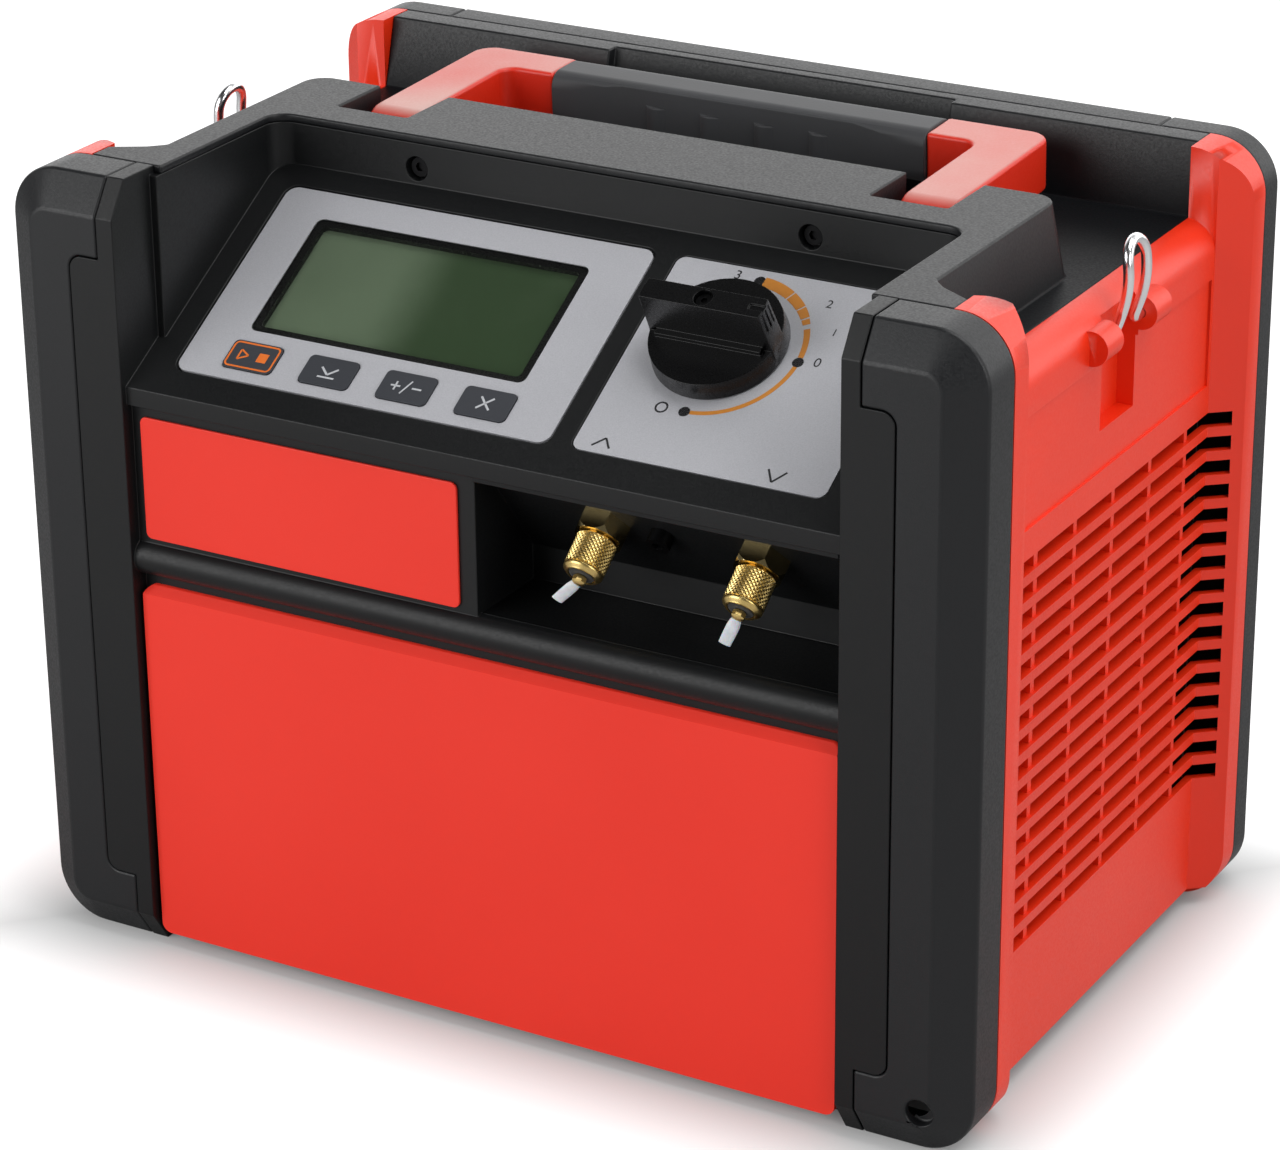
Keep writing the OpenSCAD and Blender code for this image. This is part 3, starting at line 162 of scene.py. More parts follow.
def soft_rubber(name, dark, light):
    """Thermoplastic rubber overmoulding: matt, slightly dusty where it turns to the light."""
    material, tree = new_material(name)
    place = add_node(tree, "TexCoord").outputs["Object"]
    grain = add_node(tree, "TexNoise", {"Vector": place, "Scale": 1 / (1.1 * MM), "Detail": 2.0})
    dust = add_node(tree, "TexNoise", {"Vector": place, "Scale": 1 / (25 * MM), "Detail": 4.0})
    tint = add_node(tree, "Mix", {"Factor": dust.outputs["Fac"], "A": hex_colour(dark),
                                  "B": hex_colour(light)}, data_type="RGBA")
    bump = add_node(tree, "Bump", {"Height": grain.outputs["Fac"], "Strength": 0.3, "Distance": 0.1 * MM})
    shader = add_node(tree, "BsdfPrincipled", {"Base Color": tint.outputs["Result"], "Roughness": 0.62,
                                               "Sheen Weight": 0.15, "Normal": bump.outputs["Normal"]})
    add_node(tree, "OutputMaterial", {"Surface": shader.outputs["BSDF"]})
    return material


def silver_foil(name):
    """Silver-printed polyester foil: pale grey with a fine metallic fleck under a satin hard coat."""
    material, tree = new_material(name)
    place = add_node(tree, "TexCoord").outputs["Object"]
    # The real fleck is too fine to show, so it is drawn half a millimetre wide
    fleck = add_node(tree, "TexNoise", {"Vector": place, "Scale": 1 / (0.5 * MM), "Detail": 1.0})
    tint = add_node(tree, "Mix", {"Factor": fleck.outputs["Fac"], "A": hex_colour("#B0B1B6"),
                                  "B": hex_colour("#C9C9CE")}, data_type="RGBA")
    gloss = add_node(tree, "MapRange", {"Value": fleck.outputs["Fac"], "To Min": 0.36, "To Max": 0.5})
    shader = add_node(tree, "BsdfPrincipled", {"Base Color": tint.outputs["Result"], "Metallic": 0.35,
                                               "Roughness": gloss.outputs["Result"]})
    add_node(tree, "OutputMaterial", {"Surface": shader.outputs["BSDF"]})
    return material


def machined_metal(name, dark, light, rough, mark_mm, stretch):
    """Turned or drawn metal: fine tool marks break the gloss, with a faint tarnish in the colour."""
    material, tree = new_material(name)
    place = add_node(tree, "TexCoord").outputs["Object"]
    # The real marks are too fine to show, so they are drawn coarser
    lines = add_node(tree, "Mapping", {"Vector": place, "Scale": stretch})
    marks = add_node(tree, "TexNoise", {"Vector": lines.outputs["Vector"], "Scale": 1 / (mark_mm * MM),
                                        "Detail": 3.0})
    tarnish = add_node(tree, "TexNoise", {"Vector": place, "Scale": 1 / (9 * MM), "Detail": 4.0})
    tint = add_node(tree, "Mix", {"Factor": tarnish.outputs["Fac"], "A": hex_colour(dark),
                                  "B": hex_colour(light)}, data_type="RGBA")
    gloss = add_node(tree, "MapRange", {"Value": marks.outputs["Fac"], "To Min": rough * 0.7,
                                        "To Max": rough * 1.4})
    shader = add_node(tree, "BsdfPrincipled", {"Base Color": tint.outputs["Result"], "Metallic": 1.0,
                                               "Roughness": gloss.outputs["Result"]})
    add_node(tree, "OutputMaterial", {"Surface": shader.outputs["BSDF"]})
    return material


def display_glass(name):
    """Unlit liquid crystal display: dark green, its left half veiled grey by a bright wall's reflection."""
    material, tree = new_material(name)
    place = add_node(tree, "TexCoord").outputs["Object"]
    part = add_node(tree, "SeparateXYZ", {"Vector": place})
    # The veil ends in a soft edge near the middle of the glass
    veil = add_node(tree, "MapRange", {"Value": part.outputs["X"], "From Min": -72 * MM,
                                       "From Max": -44 * MM}, interpolation_type="SMOOTHSTEP")
    cells = add_node(tree, "TexNoise", {"Vector": place, "Scale": 1 / (20 * MM), "Detail": 2.0})
    patchy = add_node(tree, "MapRange", {"Value": cells.outputs["Fac"], "To Min": -0.15, "To Max": 0.15})
    total = add_node(tree, "Math", {0: veil.outputs["Result"], 1: patchy.outputs["Result"]},
                     operation="ADD")
    tint = add_node(tree, "Mix", {"Factor": total.outputs["Value"], "A": hex_colour("#899485"),
                                  "B": hex_colour("#4C5E47")}, data_type="RGBA")
    shader = add_node(tree, "BsdfPrincipled", {"Base Color": tint.outputs["Result"], "Roughness": 0.3})
    add_node(tree, "OutputMaterial", {"Surface": shader.outputs["BSDF"]})
    return material


def clear_window(name):
    """Clear acrylic window: see-through, with a gloss that grows towards grazing light."""
    material, tree = new_material(name)
    # Only the outer face shines, as the sheet is too thin for its inner face to be told apart
    edge = add_node(tree, "Fresnel", {"IOR": 1.49})
    inner = add_node(tree, "NewGeometry").outputs["Backfacing"]
    outer = add_node(tree, "Math", {0: 1.0, 1: inner}, operation="SUBTRACT")
    shine = add_node(tree, "Math", {0: edge.outputs["Fac"], 1: outer.outputs["Value"]},
                     operation="MULTIPLY")
    clear = add_node(tree, "BsdfTransparent", {"Color": hex_colour("#E6EAE4")})
    gloss = add_node(tree, "BsdfGlossy", {"Color": hex_colour("#FFFFFF"), "Roughness": 0.03})
    mix = add_node(tree, "MixShader", {"Fac": shine.outputs["Value"], 1: clear.outputs["BSDF"],
                                       2: gloss.outputs["BSDF"]})
    add_node(tree, "OutputMaterial", {"Surface": mix.outputs["Shader"]})
    return material


def printed_ink(name, dark, light, rough):
    """Screen-printed ink: an even satin film with a faint mottle."""
    material, tree = new_material(name)
    place = add_node(tree, "TexCoord").outputs["Object"]
    mottle = add_node(tree, "TexNoise", {"Vector": place, "Scale": 1 / (1.5 * MM), "Detail": 2.0})
    tint = add_node(tree, "Mix", {"Factor": mottle.outputs["Fac"], "A": hex_colour(dark),
                                  "B": hex_colour(light)}, data_type="RGBA")
    shader = add_node(tree, "BsdfPrincipled", {"Base Color": tint.outputs["Result"], "Roughness": rough})
    add_node(tree, "OutputMaterial", {"Surface": shader.outputs["BSDF"]})
    return material


def milky_nylon(name):
    """Unfilled nylon: milky and half see-through, so light spreads inside it."""
    material, tree = new_material(name)
    place = add_node(tree, "TexCoord").outputs["Object"]
    cloud = add_node(tree, "TexNoise", {"Vector": place, "Scale": 1 / (3 * MM), "Detail": 2.0})
    tint = add_node(tree, "Mix", {"Factor": cloud.outputs["Fac"], "A": hex_colour("#C3C9D0"),
                                  "B": hex_colour("#EDEFF1")}, data_type="RGBA")
    shader = add_node(tree, "BsdfPrincipled", {"Base Color": tint.outputs["Result"], "Roughness": 0.35,
                                               "Subsurface Weight": 0.4, "Subsurface Scale": 0.002})
    add_node(tree, "OutputMaterial", {"Surface": shader.outputs["BSDF"]})
    return material


red_abs = moulded_plastic("moulded_red_abs", "#E22B06", "#EA310B", 0.9, 0.05, 0.34, 0.46, 1.53)
red_panel_abs = moulded_plastic("satin_red_panel", "#E93020", "#F13626", 0.7, 0.025, 0.34, 0.44, 1.42)
black_abs = moulded_plastic("moulded_black_abs", "#141517", "#1A1B1D", 0.9, 0.09, 0.36, 0.52, 1.42)
cover_abs = moulded_plastic("hand_polished_black_abs", "#101113", "#151618", 0.9, 0.09, 0.36, 0.52, 1.4,
                            matt=(274, 298))
# The handle's up-facing faces carry a pale film: partly dust, partly a painted sheen
handle_abs = moulded_plastic("red_handle_dust_and_sheen", "#D2240A", "#DA2A0F", 0.9, 0.05, 0.36, 0.48,
                             dust="#C4BAB1")
# Painted shade: the fascia's black ABS is a darker copy of the shell plastic, standing in for the shade in
# its tub and recess
shaded_fascia_abs = moulded_plastic("satin_black_fascia_painted_shade", "#0D0E0F", "#121314", 0.9, 0.07, 0.38, 0.52, 1.37)
knob_abs = moulded_plastic("satin_black_knob", "#040405", "#070708", 0.6, 0.02, 0.24, 0.34, 1.38)
fan_abs = moulded_plastic("fan_black_plastic", "#161617", "#1C1C1E", 0.8, 0.05, 0.5, 0.65)
inlet_abs = moulded_plastic("inlet_black_plastic", "#131314", "#19191A", 0.7, 0.03, 0.36, 0.5)
key_film = moulded_plastic("dark_grey_key_film", "#2F3136", "#393B40", 0.5, 0.03, 0.42, 0.52)
board_resin = moulded_plastic("green_board_resin", "#1C5233", "#26633F", 1.2, 0.03, 0.35, 0.5)
grip_rubber = soft_rubber("black_grip_rubber", "#2A2B2D", "#36373A")
mount_rubber = soft_rubber("black_mount_rubber", "#161617", "#1E1E1F")
foil = silver_foil("silver_printed_foil")
brass = machined_metal("machined_brass", "#D6B667", "#E8CE8E", 0.3, 0.6, (1, 1, 6))
bright_brass = machined_metal("polished_brass", "#D8BC78", "#EAD7A4", 0.13, 0.6, (1, 1, 6))
chrome = machined_metal("bright_plated_wire", "#EDEEF0", "#FAFAFB", 0.2, 0.8, (1, 1, 1))
steel = machined_metal("plain_sheet_steel", "#7E8184", "#96999C", 0.38, 0.7, (1, 6, 1))
dark_steel = machined_metal("blackened_steel", "#1B1B1C", "#2A2A2B", 0.42, 0.8, (1, 1, 1))
cast_alloy = machined_metal("die_cast_alloy", "#7A7D80", "#8F9295", 0.5, 1.5, (1, 1, 1))
fin_alloy = machined_metal("coil_fin_alloy", "#8B8E90", "#A4A6A8", 0.42, 0.8, (1, 1, 5))
copper = machined_metal("drawn_copper", "#A8633C", "#C47D52", 0.3, 0.8, (1, 1, 1))
motor_paint = moulded_plastic("black_motor_paint", "#18181A", "#202022", 1.4, 0.05, 0.4, 0.55)
lcd_glass = display_glass("unlit_display")
window_clear = clear_window("clear_acrylic_window")
black_ink = printed_ink("black_screen_ink", "#1A1A1C", "#232325", 0.45)
orange_ink = printed_ink("orange_screen_ink", "#B8742A", "#C48132", 0.42)
key_orange_ink = printed_ink("bright_orange_key_ink", "#CF6424", "#DC7430", 0.42)
key_pale_ink = printed_ink("pale_grey_key_ink", "#A9ABAF", "#BBBDC0", 0.45)
nylon = milky_nylon("milky_nylon")

slot_materials = {
    "red_shell": red_abs,
    "red_label": red_panel_abs,
    "black_shell": black_abs,
    "soft_grip": grip_rubber,
    "knob_black": knob_abs,
    "silver_overlay": foil,
    "key_face": key_film,
    "lens_clear": window_clear,
    "lcd_face": lcd_glass,
    "board_green": board_resin,
    "brass_fitting": brass,
    "tether_white": nylon,
    "pan_steel": steel,
    "hook_chrome": chrome,
    "screw_black": dark_steel,
    "cast_alloy": cast_alloy,
    "motor_black": motor_paint,
    "mount_rubber": mount_rubber,
    "fan_black": fan_abs,
    "coil_alloy": fin_alloy,
    "copper_pipe": copper,
    "inlet_black": inlet_abs,
}


def dress(piece, material):
    piece.data.materials.clear()
    piece.data.materials.append(material)


node_slot = {part["node"]: part["material_slot"] for part in frame["record"]["subparts"]}
node_body = {node: body for body, members in frame["record"]["behaviour"]["bodies"].items()
             for node in members}
for node, cad in frame["nodes"].items():
    for place in cad.material_slots:
        place.material = slot_materials[node_slot[node]]
frame["nodes"]["knob_screw"].material_slots[0].material = dark_steel
for node in ("inlet_fitting", "outlet_fitting"):
    frame["nodes"][node].material_slots[0].material = bright_brass


# Modelling tools


def only(piece):
    """Deselects everything and selects one piece."""
    bpy.ops.object.select_all(action="DESELECT")
    piece.select_set(True)
    bpy.context.view_layer.objects.active = piece


def apply_modifiers(piece):
    only(piece)
    for modifier in list(piece.modifiers):
        bpy.ops.object.modifier_apply(modifier=modifier.name)


def mount(piece, body, slot, material, *stands_for):
    """Finishes a piece: its material, the body it rides on and the CAD nodes it stands for."""
    dress(piece, material)
    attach(piece, body)
    if stands_for:
        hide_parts(*stands_for)
    return piece


def settle(piece, place):
    """Puts a piece in its place in its mesh, so that its object stays at the origin."""
    piece.data.transform(place)
    piece.matrix_world = Matrix.Identity(4)
    return piece


def softened(node, radius_mm, steps, material, angle=32, smooth=40):
    """A copy of a moulded CAD node with its edges rounded, as the tool that moulds it leaves them.

    With no radius only the shading is softened, across edges up to the smooth angle.
    """
    cad = frame["nodes"][node]
    piece = cad.copy()
    piece.data = cad.data.copy()
    for key in list(piece.keys()):
        del piece[key]
    piece.parent = None
    piece.name = node + "_moulded"
    bpy.context.scene.collection.objects.link(piece)
    piece.matrix_world = Matrix.Identity(4)
    only(piece)
    bpy.ops.object.mode_set(mode="EDIT")
    bpy.ops.mesh.select_all(action="SELECT")
    bpy.ops.mesh.remove_doubles(threshold=0.002 * MM)
    bpy.ops.mesh.dissolve_limited(angle_limit=math.radians(0.5))
    bpy.ops.object.mode_set(mode="OBJECT")
    if radius_mm:
        rounding = piece.modifiers.new("edges", "BEVEL")
        rounding.width = radius_mm * MM
        rounding.segments = steps
        rounding.limit_method = "ANGLE"
        rounding.angle_limit = math.radians(angle)
        rounding.use_clamp_overlap = False
        rounding.miter_outer = "MITER_ARC"
        apply_modifiers(piece)
    bpy.ops.object.shade_smooth_by_angle(angle=math.radians(smooth))
    # Large faces keep their flat shading, so that the rounding stays in the edges
    shading = piece.modifiers.new("flat faces", "WEIGHTED_NORMAL")
    shading.keep_sharp = True
    apply_modifiers(piece)
    return mount(piece, node_body[node], node_slot[node], material, node)


def true_roll(piece, x):
    """Shades a side shell's rolled top edge as the round it is; its axis runs along Y at x."""
    mesh = piece.data
    near = 0.02 * MM
    normals = [Vector(corner.vector) for corner in mesh.corner_normals]
    for face in mesh.polygons:
        points = [mesh.vertices[i].co for i in face.vertices]
        spokes = [Vector((point.x - x * MM, 0, point.z - ROLL_Z * MM)) for point in points]
        if all(abs(spoke.length - ROLL_RADIUS * MM) < near and spoke.z > -near / 2 and spoke.x * x > -1e-6
               for spoke in spokes):
            for corner, spoke in zip(face.loop_indices, spokes):
                normals[corner] = spoke.normalized()
    mesh.normals_split_custom_set(normals)


def wrapped_grid(name, columns, rows, shape):
    """A grid whose points are laid on a surface by shape(u, v), with u and v from 0 to 1."""
    bpy.ops.object.select_all(action="DESELECT")
    bpy.ops.mesh.primitive_grid_add(x_subdivisions=columns, y_subdivisions=rows, size=1)
    piece = bpy.context.object
    piece.name = name
    for point in piece.data.vertices:
        point.co = Vector(shape(point.co.x + 0.5, point.co.y + 0.5)) * MM
    return piece


def close_up(piece):
    """Merges doubled points and turns the faces outwards."""
    only(piece)
    bpy.ops.object.mode_set(mode="EDIT")
    bpy.ops.mesh.select_all(action="SELECT")
    bpy.ops.mesh.remove_doubles(threshold=0.001 * MM)
    bpy.ops.mesh.normals_make_consistent(inside=False)
    bpy.ops.object.mode_set(mode="OBJECT")
    return piece


def close_ends(piece):
    """Closes a tube's open ends, turns its faces outwards and smooths it."""
    only(piece)
    bpy.ops.object.mode_set(mode="EDIT")
    bpy.ops.mesh.select_all(action="DESELECT")
    bpy.ops.mesh.select_mode(type="EDGE")
    bpy.ops.mesh.select_non_manifold(extend=False)
    bpy.ops.mesh.edge_face_add()
    bpy.ops.mesh.select_all(action="SELECT")
    bpy.ops.mesh.normals_make_consistent(inside=False)
    bpy.ops.object.mode_set(mode="OBJECT")
    bpy.ops.object.shade_smooth_by_angle(angle=math.radians(50))
    return piece


def turned(name, profile, steps):
    """A turned piece: a profile of radius and height, spun round its axis."""
    count = len(profile) - 1

    def shape(u, v):
        index = min(int(round(u * count)), count)
        angle = 2 * math.pi * v
        radius, height = profile[index]
        return radius * math.cos(angle), radius * math.sin(angle), height

    piece = close_up(wrapped_grid(name, count, steps, shape))
    bpy.ops.object.shade_smooth_by_angle(angle=math.radians(35))
    return piece


def joined(name, pieces):
    """Joins several meshes to one piece."""
    bpy.ops.object.select_all(action="DESELECT")
    for piece in pieces:
        piece.select_set(True)
    bpy.context.view_layer.objects.active = pieces[0]
    bpy.ops.object.join()
    piece = bpy.context.object
    piece.name = name
    return piece


def ink_film(piece):
    """Gives a flat printed mark the thickness of its ink."""
    film = piece.modifiers.new("film", "SOLIDIFY")
    film.thickness = INK_THICKNESS * MM
    film.offset = 1
    apply_modifiers(piece)
    return piece


def flat_bar(name, x0, y0, x1, y1):
    return wrapped_grid(name, 1, 1, lambda u, v: (x0 + (x1 - x0) * u, y0 + (y1 - y0) * v, 0))


def flat_stroke(name, a, b, width):
    """A straight printed stroke from a to b."""
    along = Vector((b[0] - a[0], b[1] - a[1]))
    across = Vector((-along.y, along.x)).normalized() * width / 2

    def shape(u, v):
        p = Vector(a) + along * u + across * (2 * v - 1)
        return p.x, p.y, 0

    return wrapped_grid(name, 1, 1, shape)


def flat_arc(name, middle, radius, wide_start, wide_end, start, end):
    """A printed arc that may thin out along its length; angles in degrees."""

    def shape(u, v):
        angle = math.radians(start + (end - start) * u)
        reach = radius + (v - 0.5) * (wide_start + (wide_end - wide_start) * u)
        return middle[0] + reach * math.cos(angle), middle[1] + reach * math.sin(angle), 0

    return wrapped_grid(name, max(3, int(abs(end - start) / 3)), 1, shape)


def flat_dot(name, middle, radius):
    def shape(u, v):
        angle = 2 * math.pi * u
        return middle[0] + radius * v * math.cos(angle), middle[1] + radius * v * math.sin(angle), 0

    return close_up(wrapped_grid(name, 28, 1, shape))


def flat_number(name, digits, middle, height):
    """A plain number as flat print."""
    bpy.ops.object.select_all(action="DESELECT")
    bpy.ops.object.text_add()
    text = bpy.context.object
    text.data.body = digits
    text.data.align_x = "CENTER"
    text.data.align_y = "CENTER"
    text.data.size = height * MM
    bpy.ops.object.convert(target="MESH")
    piece = bpy.context.object
    piece.name = name
    return settle(piece, Matrix.Translation((middle[0] * MM, middle[1] * MM, 0)))


def printed(name, marks, place, body, slot, material):
    """Joins printed marks, gives them their ink's thickness and lays them in place."""
    piece = ink_film(joined(name, marks))
    settle(piece, place)
    mount(piece, body, slot, material)


# Moulded shells with softened edges

for bumper in ("front_bumper_left", "front_bumper_right", "rear_bumper_left", "rear_bumper_right"):
    softened(bumper, 1.0, 3, black_abs, 24)
softened("front_panel", 0, 0, red_panel_abs, smooth=60)
softened("label_plate", 0.3, 2, red_panel_abs)
softened("front_fascia", 0.4, 2, shaded_fascia_abs)
softened("top_cover", 0.8, 2, cover_abs)
softened("rear_cover", 0.8, 2, black_abs)
true_roll(softened("side_panel_left", 0, 0, red_abs), -ROLL_X)
true_roll(softened("side_panel_right", 0, 0, red_abs), ROLL_X)
softened("handle_frame", 1.6, 4, handle_abs)
softened("handle_grip", 0.5, 2, grip_rubber, 40)
softened("valve_knob", 0.2, 2, knob_abs)


# Display window: dark bezel frame under the clear sheet


def rounded_loop(size, radius):
    """Points round a rectangle with rounded corners."""
    steps = 6
    points = []
    for quarter in range(4):
        cx = (1 if quarter in (0, 3) else -1) * (size[0] / 2 - radius)
        cy = (1 if quarter in (0, 1) else -1) * (size[1] / 2 - radius)
        for step in range(steps + 1):
            angle = math.radians(90 * quarter + 90 * step / steps)
            points.append((cx + radius * math.cos(angle), cy + radius * math.sin(angle)))
    return points


def window_bezel():
    """Dark frame that steps down from the window's edge to the display glass."""
    outer = (113.2, 53.7)
    inner = (107.6, 49.0)
    middle = (-53.0, 62.2)
    loops = [(rounded_loop(outer, 2.8), -0.3), (rounded_loop(inner, 2.0), -0.7),
             (rounded_loop(inner, 2.0), -2.9), (rounded_loop(outer, 2.8), -2.9)]
    count = len(loops[0][0])

    def shape(u, v):
        row = int(round(v * 4)) % 4
        column = int(round(u * count)) % count
        x, y = loops[row][0][column]
        return middle[0] + x, middle[1] + y, loops[row][1]

    piece = close_up(wrapped_grid("display_bezel", count, 4, shape))
    bpy.ops.object.shade_smooth_by_angle(angle=math.radians(30))
    settle(piece, PANEL)
    mount(piece, "housing", "knob_black", knob_abs)


# Printed marks of the dial plate


def dial_marks():
    """Three stops, the tapering orange arc between them, flow arrows and plain numbers."""
    place = on_panel(0, 0, FOIL_TOP)
    radius = 30
    stops = [flat_dot(f"stop_{angle}", (KNOB[0] + radius * math.cos(math.radians(angle)),
                                        KNOB[1] + radius * math.sin(math.radians(angle))), 2.1)
             for angle in (88, -2, -90)]
    inward = ((44.5, 19.6), ((40.6, 15.6), (47.4, 15.6)))
    outward = ((109.4, 15.4), ((106.2, 20.4), (113.2, 20.4)))
    arrows = [flat_stroke("flow_arrow", foot, tip, 0.75)
              for tip, feet in (inward, outward) for foot in feet]
    numbers = [flat_number("number", digits, spot, size) for digits, spot, size in (
        ("3", (58.5, 97.5), 5.5), ("2", (96.5, 92.0), 5.0),
        ("1", (103.5, 80.5), 4.5), ("0", (103.2, 66.8), 5.5))]
    numbers.append(flat_arc("ring", (57.6, 36.6), 2.1, 0.7, 0.7, 0, 360))
    printed("dial_black_print", stops + arrows + numbers, place, "housing", "silver_overlay", black_ink)
    bands = [flat_arc("arc", KNOB, radius, *band) for band in (
        (4.4, 4.1, 85, 61), (4.0, 3.7, 60, 46.5), (3.6, 3.3, 45.5, 36.5), (3.0, 2.7, 35.3, 30.5),
        (2.3, 2.0, 26.5, 2), (1.7, 1.6, -6, -86))]
    printed("dial_orange_print", bands, place, "housing", "silver_overlay", orange_ink)


# Printed marks of the keys


def key_outline(inset, width):
    """Printed line round a key, with the key's rounded corners."""
    corner = 2.0
    size = [length - 2 * inset for length in KEY_SIZE]
    hole = [length - 2 * width for length in size]
    loops = [rounded_loop(size, corner), rounded_loop(hole, corner - width)]
    count = len(loops[0])

    def shape(u, v):
        return *loops[int(round(v))][int(round(u * count)) % count], 0

    return [close_up(wrapped_grid("edge", count, 1, shape))]


def key_marks():
    """Simple symbols: run and stop, step down, plus and minus, and cancel."""
    run = key_outline(0.5, 0.7) + [
        flat_stroke("run", (-5.6, -2.2), (-5.6, 2.2), 0.7), flat_stroke("run", (-5.6, 2.2), (-1.8, 0), 0.7),
        flat_stroke("run", (-1.8, 0), (-5.6, -2.2), 0.7), flat_bar("stop", 2.2, -2.0, 6.2, 2.0)]
    down = [
        flat_stroke("step", (-3.4, 1.6), (0, -1.4), 0.8), flat_stroke("step", (0, -1.4), (3.4, 1.6), 0.8),
        flat_bar("step", -3.4, -3.0, 3.4, -2.3)]
    more = [flat_bar("plus", -6.2, -0.35, -2.4, 0.35), flat_bar("plus", -4.65, -1.9, -3.95, 1.9),
            flat_stroke("part", (-1.3, -3.0), (1.3, 3.0), 0.6), flat_bar("minus", 2.4, -0.35, 6.2, 0.35)]
    cancel = [
        flat_stroke("cancel", (-2.6, -2.6), (2.6, 2.6), 0.8),
        flat_stroke("cancel", (-2.6, 2.6), (2.6, -2.6), 0.8)]
    keys = (("one", run, key_orange_ink), ("two", down, key_pale_ink),
            ("three", more, key_pale_ink), ("four", cancel, key_pale_ink))
    for index, (word, marks, ink) in enumerate(keys):
        place = on_panel(KEY_FIRST + KEY_PITCH * index, KEY_ROW, KEY_TOP)
        printed(f"key_{word}_print", marks, place, f"key_{word}", "key_face", ink)


# Port caps


def knurled_sleeve(name, radius, start, end, around, rows, depth):
    """Diamond knurl: each face of a tube is split to a diamond, and each diamond is raised to a point."""

    def shape(u, v):
        angle = 2 * math.pi * u
        return radius * math.cos(angle), radius * math.sin(angle), start + (end - start) * v

    piece = close_up(wrapped_grid(name, around, rows, shape))
    corners = len(piece.data.vertices)
    only(piece)
    bpy.ops.object.mode_set(mode="EDIT")
    bpy.ops.mesh.select_all(action="SELECT")
    bpy.ops.mesh.poke()
    bpy.ops.mesh.select_all(action="DESELECT")
    bpy.ops.object.mode_set(mode="OBJECT")
    low, high = start * MM, end * MM
    for edge in piece.data.edges:
        a, b = (piece.data.vertices[i] for i in edge.vertices)
        rim = abs(a.co.z - b.co.z) < 1e-7 and (abs(a.co.z - low) < 1e-7 or abs(a.co.z - high) < 1e-7)
        edge.select = a.index < corners and b.index < corners and not rim
    bpy.ops.object.mode_set(mode="EDIT")
    bpy.ops.mesh.select_mode(type="EDGE")
    bpy.ops.mesh.dissolve_edges(use_verts=False)
    bpy.ops.mesh.select_mode(type="FACE")
    bpy.ops.mesh.select_all(action="SELECT")
    bpy.ops.mesh.poke(offset=depth * MM)
    bpy.ops.object.mode_set(mode="OBJECT")
    return piece


def port_cap(side, x):
    """Knurled brass cap with a turned rim and a hollow end."""
    end = CAP_LENGTH
    rim = CAP_RADIUS
    body = turned(side + "_cap_turned", [
        (CAP_BORE, 0.0), (rim - 0.6, 0.0), (rim - 0.3, 0.4), (rim - 0.3, 11.9), (rim - 0.1, 12.1),
        (rim, 12.4), (rim - 0.05, 12.9), (rim - 0.4, 13.4), (rim - 1.1, 13.9), (rim - 1.5, end),
        (5.1, end), (5.0, end - 1.3), (1.8, end - 1.3), (1.8, end - 2.6), (CAP_BORE, end - 2.6),
        (CAP_BORE, 0.0)], 48)
    sleeve = knurled_sleeve(side + "_knurl", rim - 0.28, 0.5, 11.8, 26, 7, 0.5)
    cap = joined(side + "_cap_knurled", [body, sleeve])
    settle(cap, port_frame(x) @ Matrix.Translation((0, 0, CAP_SEAT * MM)))
    mount(cap, side + "_cap_body", "brass_fitting", brass, side + "_cap")


def port_tether(side, x, aside):
    """Rubber ring, brass tip and soft tail in the end of a cap."""
    place = port_frame(x) @ Matrix.Translation((0, 0, (CAP_SEAT + CAP_LENGTH) * MM))
    ring = turned(side + "_seal_ring", [
        (1.75, -1.2), (4.7, -1.2), (4.8, -0.6), (4.5, -0.1), (3.9, 0.1), (2.2, 0.1), (1.75, -0.2),
        (1.75, -1.2)], 32)
    settle(ring, place)
    mount(ring, side + "_tether", "mount_rubber", mount_rubber)
    tip = turned(side + "_tether_tip", [
        (0.0, -2.4), (1.6, -2.4), (1.6, 0.2), (2.1, 0.3), (2.5, 0.6), (2.5, 2.4), (2.0, 3.0), (1.2, 3.3),
        (0.0, 3.4)], 8)
    settle(tip, place)
    mount(tip, side + "_tether", "brass_fitting", brass)
    length, root = 12.4, 1.9
    swing = math.radians(aside)
    along = Vector((-math.sin(swing), -math.cos(swing) * math.cos(PORT_DIP),
                    math.cos(swing) * math.sin(PORT_DIP)))
    across = along.cross(Vector((0, 0, 1))).normalized()
    thick = across.cross(along)

    def shape(u, v):
        angle = 2 * math.pi * u
        wide = (0.9, 2.0, 2.3, 2.3, 2.3, 2.25, 2.2)[int(round(v * 6))]
        deep = (0.8, 1.0, 0.85, 0.7, 0.65, 0.6, 0.6)[int(round(v * 6))]
        point = along * (length * v) + across * (wide * math.cos(angle)) + thick * (deep * math.sin(angle))
        return point.x, point.y, point.z + root

    tail = close_ends(close_up(wrapped_grid(side + "_tail", 20, 6, shape)))
    settle(tail, place)
    mount(tail, side + "_tether", "tether_white", nylon, side + "_strap")


# Strap hooks


